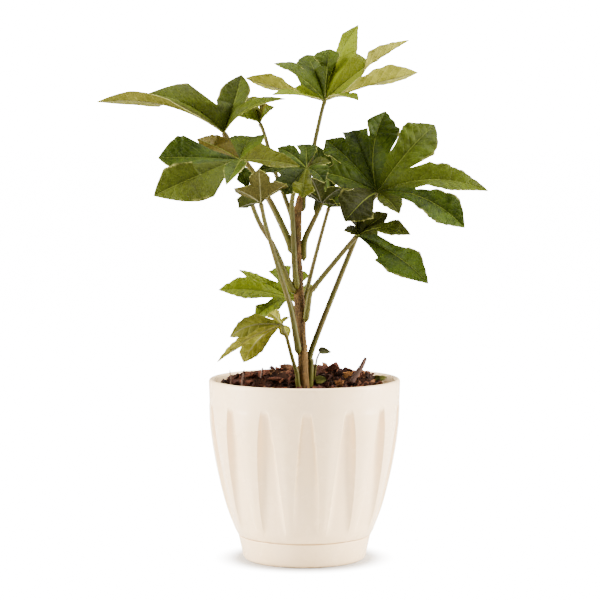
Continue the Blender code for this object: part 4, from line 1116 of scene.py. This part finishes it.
leaf_underside, recipe = finish("leaf_underside", Roughness=0.6, IOR=1.42, Specular_IOR_Level=0.05)
tone = recipe.parts(recipe.kept("lobe_tone"))
lines = use(recipe, veins, Place=recipe.kept("lobe_place"), Width=0.6)
shaded = recipe.step(tone["X"], 0.0, -1.0)
seen = recipe.most(lines["Midrib"], recipe.times(lines["Veins"], 0.7))
seen = recipe.times(seen, recipe.step(tone["Y"], 0.0, 1.0, 0.4, 0.18))
seen = recipe.most(seen, recipe.times(lines["Net"], 0.12))
colour = recipe.coats(
    UNDER,
    (patchy(recipe, 16.0, 0.36, 0.66), 1.0, UNDER_SHADE),
    (tone["Y"], 1.0, UNDER_BROWN),
    (shaded, 1.0, SHADED_UNDER),
    (seen, 0.8, recipe.blend(shaded, UNDER_VEIN, SHADED_RIB)),
)
recipe.feed(Base_Color=colour, Normal=recipe.bump(lines["Height"], 0.4))

leaf_margin, recipe = finish("leaf_margin", Roughness=0.6, Specular_IOR_Level=0.05)
worn = patchy(recipe, 9.0, 0.40, 0.60)
recipe.feed(Base_Color=recipe.blend(worn, (0.11, 0.12, 0.012), (0.30, 0.29, 0.09)))

leaf_rib, recipe = finish("leaf_rib", Roughness=0.45)
shaded = recipe.step(recipe.parts(recipe.kept("lobe_tone"))["X"], 0.0, -1.0)
recipe.feed(Base_Color=recipe.coats(
    (0.105, 0.095, 0.008), (streaky(recipe, 8.0, 0.5), 1.0, (0.165, 0.15, 0.025)),
    (shaded, 1.0, SHADED_RIB)))

leaf_stalk, recipe = finish("leaf_stalk", Roughness=0.5, Specular_IOR_Level=0.15)
run = recipe.parts(recipe.kept("stem_place"))["X"]
streaks = streaky(recipe, 14.0, 0.7)
colour = recipe.coats(
    (0.044, 0.042, 0.002),
    (patchy(recipe, 26.0, 0.4, 0.62), 1.0, (0.055, 0.039, 0.005)),
    (recipe.step(run, 6.0, 34.0, 0.6, 0.0), 1.0, (0.060, 0.058, 0.002)),
    (streaks, 0.2, (0.100, 0.085, 0.014)),
)
recipe.feed(Base_Color=colour, Normal=recipe.bump(streaks, 0.05))


def stalk_rows(leaf):
    """A stalk's path: a thick clasping foot, a slim stalk, and a small knee under the blade."""
    top = leaf.junction - leaf.upward * BLADE_THICKNESS
    points = [np.array(p) for p in leaf.petiole + [top]]
    lengths = [0.0]
    for a, b in zip(points, points[1:]):
        lengths.append(lengths[-1] + float(np.linalg.norm(b - a)))
    rows = []
    fuller, sheath = leaf.sheath
    base = leaf.base * (fuller + 1) / 2
    for point, run in zip(points, lengths):
        foot = math.exp(-((run / sheath) ** 2))
        slim = leaf.end * fuller * (1 + STALK_TAPER * (1 - run / lengths[-1]))
        rows.append((*point, slim + (base - slim) * foot))
    rows = smooth_rows(rows, 12)
    down = (rows[0] - rows[1])[:3]
    toe = rows[0][:3] + down / np.linalg.norm(down) * TOE_LENGTH
    middle = (rows[0] + np.array((*toe, leaf.base * TOE_SHARE))) / 2
    middle[3] = leaf.base * TOE_MIDDLE
    return [np.array((*toe, leaf.base * TOE_SHARE)), middle] + rows


def stalk_relief(run, share, angle):
    """A stalk is faintly ribbed, a little swollen at its top, and grooved at its foot."""
    ribbed = STALK_RIBS * math.cos(4 * angle)
    knee = STALK_KNEE * ease((share - 0.955) / 0.03) * (1 - ease((share - 0.985) / 0.015))
    groove = -STALK_GROOVE * math.exp(-((run / 0.016) ** 2)) * max(math.cos(angle), 0.0) ** 8
    return 1 + ribbed + knee + groove


for leaf in LEAVES:
    blade, lobes = leaf_blade(leaf, [leaf_top, leaf_underside, leaf_margin])
    ribs = rib_cords(leaf, lobes, [leaf_rib])
    for piece in (blade, ribs):
        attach(piece, "root")
        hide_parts("blade_" + leaf.name)
    stalk = stem_skin("stalk_" + leaf.name, stalk_rows(leaf), STALK_SIDES, [leaf_stalk], stalk_relief)
    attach(stalk, "root")
    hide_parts("petiole_" + leaf.name)


# Bark mulch. A domed layer of composted pine bark over the peat: dark crumbs with red-brown chips,
# a few fresh tan ones, broken twigs and leaf bits. It is heaped behind the trunk and to the right,
# and lies low in front, so that the foot of the trunk stays in sight.
SOIL_TOP = 0.1563
BARK_REACH = 0.084
BARK_EDGE = 0.0852
BARK_EDGE_TOP = 0.1595
BARK_RISE = 0.0172
FRONT_SHARE = 0.05
HEAP_START, HEAP_RUN = -0.004, 0.026
CHIP_SEED = 11
BED_RINGS, BED_COLUMNS = 60, 150
# The mound's slope up to the right and to the back, and how it sinks near the planter's wall.
MOUND_LEAN = (0.044, 0.025)
SUNK_BY_WALL, SUNK_FROM, SUNK_RUN = 0.0022, 0.070, 0.012
# Lumps of the mound, then crumbs on it, as (how many to a metre, height, place in the noise).
MOUND_LUMPS = ((95, 0.0042, 3.1), (210, 0.0026, 7.7))
CRUMBS = ((520, 0.0012, 1.7), (900, 0.0012, 5.2))
# How many corners a block of bark breaks off with, and how rough its faces are, coarse and fine.
BLOCK_CORNERS = 11
CHIP_ROUGHNESS = (0.16, 0.09)
# Loose chips: how many, of how many shapes, from how far out to how far out they lie, and their
# smallest and largest length, width and thickness.
LOOSE_CHIPS, CHIP_SHAPES = 560, 24
CHIPS_FROM, CHIPS_TO = 0.009, 0.0770
CHIP_SIZES = ((0.004, 0.013), (0.003, 0.008), (0.0020, 0.0055))
# Chips that catch the eye, as (x, y, long, wide, thick, turn about Z in degrees, tone).
KEY_CHIPS_MM = (
    (41, 17, 14, 11, 10, 35, 0.97), (31, 5, 15, 9, 7, -10, 0.93), (27, 20, 20, 15, 11, 70, 0.52),
    (16, 21, 17, 13, 10, 10, 0.46), (47, 21, 14, 12, 8, 50, 0.35), (54, 20, 8, 6, 5, -30, 0.93),
    (64, 15, 7, 5, 4, 15, 0.90), (-28, 9, 17, 9, 6, 20, 0.66), (-52, 15, 14, 9, 7, -25, 0.60),
    (-12, 5, 12, 7, 5, 60, 0.62), (-62, 10, 12, 7, 5, 5, 0.3), (22, 10, 12, 8, 6, 80, 0.25),
    (50, 12, 9, 6, 5, 15, 0.88), (-38, 14, 13, 8, 7, 40, 0.7), (10, 13, 9, 7, 6, 65, 0.2),
)


def bark_height(x, y):
    """Top of the bark over a point of the planter: low in front, a lumpy mound behind."""
    dome = max(1 - (math.hypot(x, y) / BARK_REACH) ** 2, 0.0)
    lumps = sum(noise.noise(Vector((x * per, y * per, at))) * tall for per, tall, at in MOUND_LUMPS)
    lean = (max(0.0, x) * MOUND_LEAN[0] + y * MOUND_LEAN[1]) * dome
    sunk = SUNK_BY_WALL * ease((math.hypot(x, y) - SUNK_FROM) / SUNK_RUN)
    heaped = FRONT_SHARE + (1 - FRONT_SHARE) * ease((y - HEAP_START) / HEAP_RUN)
    return BARK_EDGE_TOP + (BARK_RISE * dome ** 0.7 + lean) * heaped + lumps * (0.4 + 0.6 * heaped) - sunk


crumbs = bmesh.new()
rings = []
for k in range(1, BED_RINGS + 1):
    radius = BARK_EDGE * (k / BED_RINGS) ** 0.9
    ring = []
    for i in range(BED_COLUMNS):
        angle = 2 * math.pi * i / BED_COLUMNS
        x, y = radius * math.sin(angle), -radius * math.cos(angle)
        coarse, fine = (noise.noise(Vector((x * per, y * per, at))) * tall for per, tall, at in CRUMBS)
        fine = coarse + abs(fine)
        ring.append(crumbs.verts.new((x, y, max(bark_height(x, y) + fine - 0.0008, SOIL_TOP + 0.001))))
    rings.append(ring)
crown = crumbs.verts.new((0, 0, bark_height(0, 0)))
under = [crumbs.verts.new((v.co.x, v.co.y, SOIL_TOP)) for v in rings[-1]]
bridge(crumbs, [[crown]] + rings + [under])
crumbs.faces.new(under)
bed_mesh = smooth_mesh("bark_bed", crumbs)

bark_crumbs, recipe = finish("bark_crumbs", Roughness=0.9, Specular_IOR_Level=0.1)
coarse = patchy(recipe, 4.5, 0.36, 0.66)
fine = patchy(recipe, 1.6, 0.4, 0.7)
colour = recipe.coats(
    (0.00616, 0.00231, 0.00077), (coarse, 1.0, (0.0385, 0.01155, 0.00385)),
    (fine, 0.5, (0.0847, 0.03234, 0.01386)))
recipe.feed(Base_Color=colour, Normal=recipe.bump(recipe.sum("ADD", coarse, fine), 1.2))

# The colours of chips by their tone: dark and rotten, red-brown, and fresh tan.
CHIP_SHADES = (
    (0.0, (0.008, 0.003, 0.002)), (0.35, (0.036, 0.0085, 0.0038)), (0.7, (0.105, 0.030, 0.012)),
    (0.88, (0.22, 0.095, 0.042)), (1.0, (0.42, 0.17, 0.035)),
)
bark_chip, recipe = finish("bark_chip", Roughness=0.75, Specular_IOR_Level=0.12)
layers = streaky(recipe, 7.0, 0.8, 0.22, "chip_place")
worn = patchy(recipe, 3.5, 0.4, 0.66)
ramp = recipe.add("ValToRGB", {0: recipe.kept("chip_tone", "Fac")})
stops = ramp.color_ramp.elements
for position, _ in CHIP_SHADES[1:-1]:
    stops.new(position)
for stop, (_, shade) in zip(stops, CHIP_SHADES):
    stop.color = (*shade, 1.0)
colour = recipe.coats(
    ramp.outputs["Color"], (layers, 0.5, (0.01155, 0.00385, 0.00231)),
    (worn, 0.25, (0.1078, 0.04774, 0.0231)))
recipe.feed(Base_Color=colour, Normal=recipe.bump(recipe.sum("ADD", layers, worn), 0.6))

bed = put("bark_bed", bed_mesh, [bark_crumbs])

draw = random.Random(CHIP_SEED)
chips = bmesh.new()
tone_layer = chips.verts.layers.float.new("chip_tone")
place_layer = chips.verts.layers.float_vector.new("chip_place")


def broken_block():
    """Points and faces of a ragged block in a cube of side 2: the hull of a few random corners."""
    block = bmesh.new()
    for _ in range(BLOCK_CORNERS):
        corner = Vector([draw.uniform(-1, 1) for _ in range(3)])
        block.verts.new(corner / (max(abs(c) for c in corner) * draw.uniform(1.0, 1.25)))
    bmesh.ops.convex_hull(block, input=block.verts)
    bmesh.ops.delete(block, geom=[v for v in block.verts if not v.link_faces], context="VERTS")
    bmesh.ops.subdivide_edges(block, edges=block.edges, cuts=2, use_grid_fill=True)
    block.verts.index_update()
    shape = [v.co.copy() for v in block.verts], [[v.index for v in f.verts] for f in block.faces]
    block.free()
    return shape


blocks = [broken_block() for _ in range(CHIP_SHAPES)]


def turned(**angles):
    """One turn made of turns about the axes named, the last of them first."""
    whole = Matrix.Identity(3)
    for axis, angle in angles.items():
        whole = whole @ Matrix.Rotation(angle, 3, axis)
    return whole


def add_chip(x, y, size, turn, tone, sink):
    """A broken piece of bark: a cracked-off block with ragged faces, lying on the mound."""
    seed = draw.uniform(0, 100)
    points, faces = draw.choice(blocks)
    at = Vector((x, y, bark_height(x, y) + size[2] * sink))
    made = []
    for p in points:
        rough = 1 + CHIP_ROUGHNESS[0] * noise.noise(p * 2.6 + Vector((seed, 0, 0)))
        rough += CHIP_ROUGHNESS[1] * noise.noise(Vector((p.x * 2.0, p.y * 8.0, p.z * 8.0 + seed)))
        local = Vector((p.x * size[0] / 2, p.y * size[1] / 2, p.z * size[2] / 2)) * rough
        vertex = chips.verts.new(at + turn @ local)
        vertex[place_layer] = (local.x * 1000 + seed, local.z * 1000 + local.y * 300, 0.0)
        vertex[tone_layer] = tone
        made.append(vertex)
    for corners in faces:
        chips.faces.new([made[i] for i in corners])


for x, y, length, width, thick, spin, tone in KEY_CHIPS_MM:
    turn = turned(Z=math.radians(spin), X=draw.uniform(-0.4, 0.4))
    add_chip(x / 1000, y / 1000, (length / 1000, width / 1000, thick / 1000), turn, tone, 0.1)
for _ in range(LOOSE_CHIPS):
    angle, reach = draw.uniform(0, 2 * math.pi), CHIPS_TO * math.sqrt(draw.random())
    x, y = reach * math.sin(angle), reach * math.cos(angle)
    if math.hypot(x, y) < CHIPS_FROM:
        continue
    size = tuple(draw.uniform(*span) for span in CHIP_SIZES)
    turn = turned(Z=draw.uniform(0, 2 * math.pi), X=draw.gauss(0, 0.55), Y=draw.gauss(0, 0.45))
    add_chip(x, y, size, turn, draw.random() ** 1.3 * 0.88, draw.uniform(-0.1, 0.35))
chip_mesh = smooth_mesh("bark_chips", chips)
chip_mesh.set_sharp_from_angle(angle=0.55)
chip_heap = put("bark_chips", chip_mesh, [bark_chip])

# Litter in the bark, as (x, y, z, radius) from foot to end: a broken twig and thin stalks.
LITTER_MM = {
    "twig_right": (
        (44, 4, 166, 2.6), (50, 6, 175, 2.5), (54, 7, 181, 2.2), (56.5, 8, 186, 1.8), (58, 8, 189, 1.3),
    ),
    "stick_far_left": ((-69, -10, 161, 0.8), (-69, -10, 171, 0.8), (-70, -10, 179, 0.5)),
    "stick_left": ((-59, -12, 163, 1.2), (-58, -12, 171, 1.1), (-57, -12, 177, 0.7)),
    "stick_middle_left": ((-41, 4, 170, 1.1), (-40, 4, 176, 1.0), (-39.5, 4, 180, 0.7)),
}
twig_wood, recipe = finish("dry_twig", Roughness=0.8)
streaks = streaky(recipe, 4.0, 0.5)
colour = recipe.blend(streaks, (0.03465, 0.01386, 0.00847), (0.1232, 0.05775, 0.03234))
recipe.feed(Base_Color=colour, Normal=recipe.bump(streaks, 0.4))


def twig_relief(run, share, angle):
    """A twig is knobbly."""
    return 1 + 0.12 * math.sin(run * 1900 + 3 * angle)


litter = []
for name, rows in LITTER_MM.items():
    rows = smooth_rows(np.array(rows) / 1000, 5)
    litter.append(stem_skin(name, rows, 10, [twig_wood], twig_relief))


def small_leaf(name, values, paints):
    """A small pointed leaf, folded along its middle: (foot, heading, rise, roll, length, half width).

    The foot and the sizes are in millimetres. Heading 0 points to the right and 90 to the back.
    """
    foot, heading, rise, roll, length, width = values
    turn = turned(Z=math.radians(heading), Y=math.radians(-rise), X=math.radians(roll))
    points, faces = [], []
    for i in range(13):
        share = i / 12
        half = width * math.sin(math.pi * min(share ** 0.6 * 0.96 + 0.03, 1.0)) ** 0.8
        arch = 0.14 * length * share * (1 - share)
        for j in range(-4, 5):
            local = Vector((share * length, j / 4 * half, abs(j / 4) * half * 0.4 + arch))
            points.append((Vector(foot) + turn @ local) / 1000)
    for i in range(12):
        for j in range(8):
            at = 9 * i + j
            faces.append((at, at + 9, at + 10, at + 1))
    mesh = bpy.data.meshes.new(name)
    mesh.from_pydata([tuple(p) for p in points], [], faces)
    mesh.shade_smooth()
    made = put(name, mesh, paints)
    made.modifiers.new("Thickness", "SOLIDIFY").thickness = 0.0005
    settled(made)
    return made


# Bits of fallen leaves on the bark, dry and brown or still green, as small_leaf wants them.
LEAF_BITS = {
    "green": (
        ((10, 5, 167), 10, 10, 60, 12, 4.2), ((71, 15, 168), 20, 12, 60, 8, 2.6),
        ((66, 18, 168), -10, 14, 70, 8, 2.4),
    ),
    "dry": (
        ((-10, 20, 175), 172, 20, 60, 15, 4.6), ((-16, 17, 172), 188, -12, 70, 14, 3.6),
        ((-37, 18, 173), 10, 18, 65, 10, 2.4), ((-30, 14, 171), 170, 8, 60, 12, 2.6),
        ((52, 17, 170), -25, 4, 60, 9, 2.2), ((20, 4, 163), 10, 4, 50, 9, 2.6),
    ),
}
for name, low, high in (
    ("green", (0.030, 0.034, 0.003), (0.075, 0.072, 0.010)),
    ("dry", (0.075, 0.030, 0.012), (0.21, 0.11, 0.055)),
):
    leaf_bit, recipe = finish(name + "_leaf_bit", Roughness=0.7, Specular_IOR_Level=0.1)
    worn = patchy(recipe, 2.5, 0.38, 0.64)
    recipe.feed(Base_Color=recipe.blend(worn, low, high))
    for number, values in enumerate(LEAF_BITS[name], 1):
        litter.append(small_leaf(f"{name}_leaf_bit_{number}", values, [leaf_bit]))

for piece in [bed, chip_heap] + litter:
    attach(piece, "root")
    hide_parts("bark_mulch")


# Seedling. A weed that came up by the trunk: a thread of a stalk and one small nodding leaf. The
# stalk is of the same green tissue as the big leaves' stalks, and the leaf is thin and soft.
SEEDLING_MM = (
    (8.5, 8.0, 160.0, 1.1), (11.0, 8.0, 184.0, 1.0), (13.0, 8.0, 191.0, 0.9), (15.0, 8.0, 195.0, 0.8),
)
SEEDLING_GREENS = ((0.02695, 0.03465, 0.00462), (0.0616, 0.06545, 0.00924))
seedling_green, recipe = finish("seedling_green", Roughness=0.5)
mottle = patchy(recipe, 3.0, 0.35, 0.65)
recipe.feed(Base_Color=recipe.blend(mottle, *SEEDLING_GREENS))
rows = smooth_rows(np.array(SEEDLING_MM) / 1000, 6)
seedling_stalk = stem_skin("seedling_stalk", rows, 10, [leaf_stalk])
seedling_leaf = small_leaf(
    "seedling_leaf", ((13.2, 8.0, 196.8), 0, -12, 90, 12.2, 3.2), [seedling_green])
for piece in (seedling_stalk, seedling_leaf):
    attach(piece, "root")
    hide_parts("seedling")
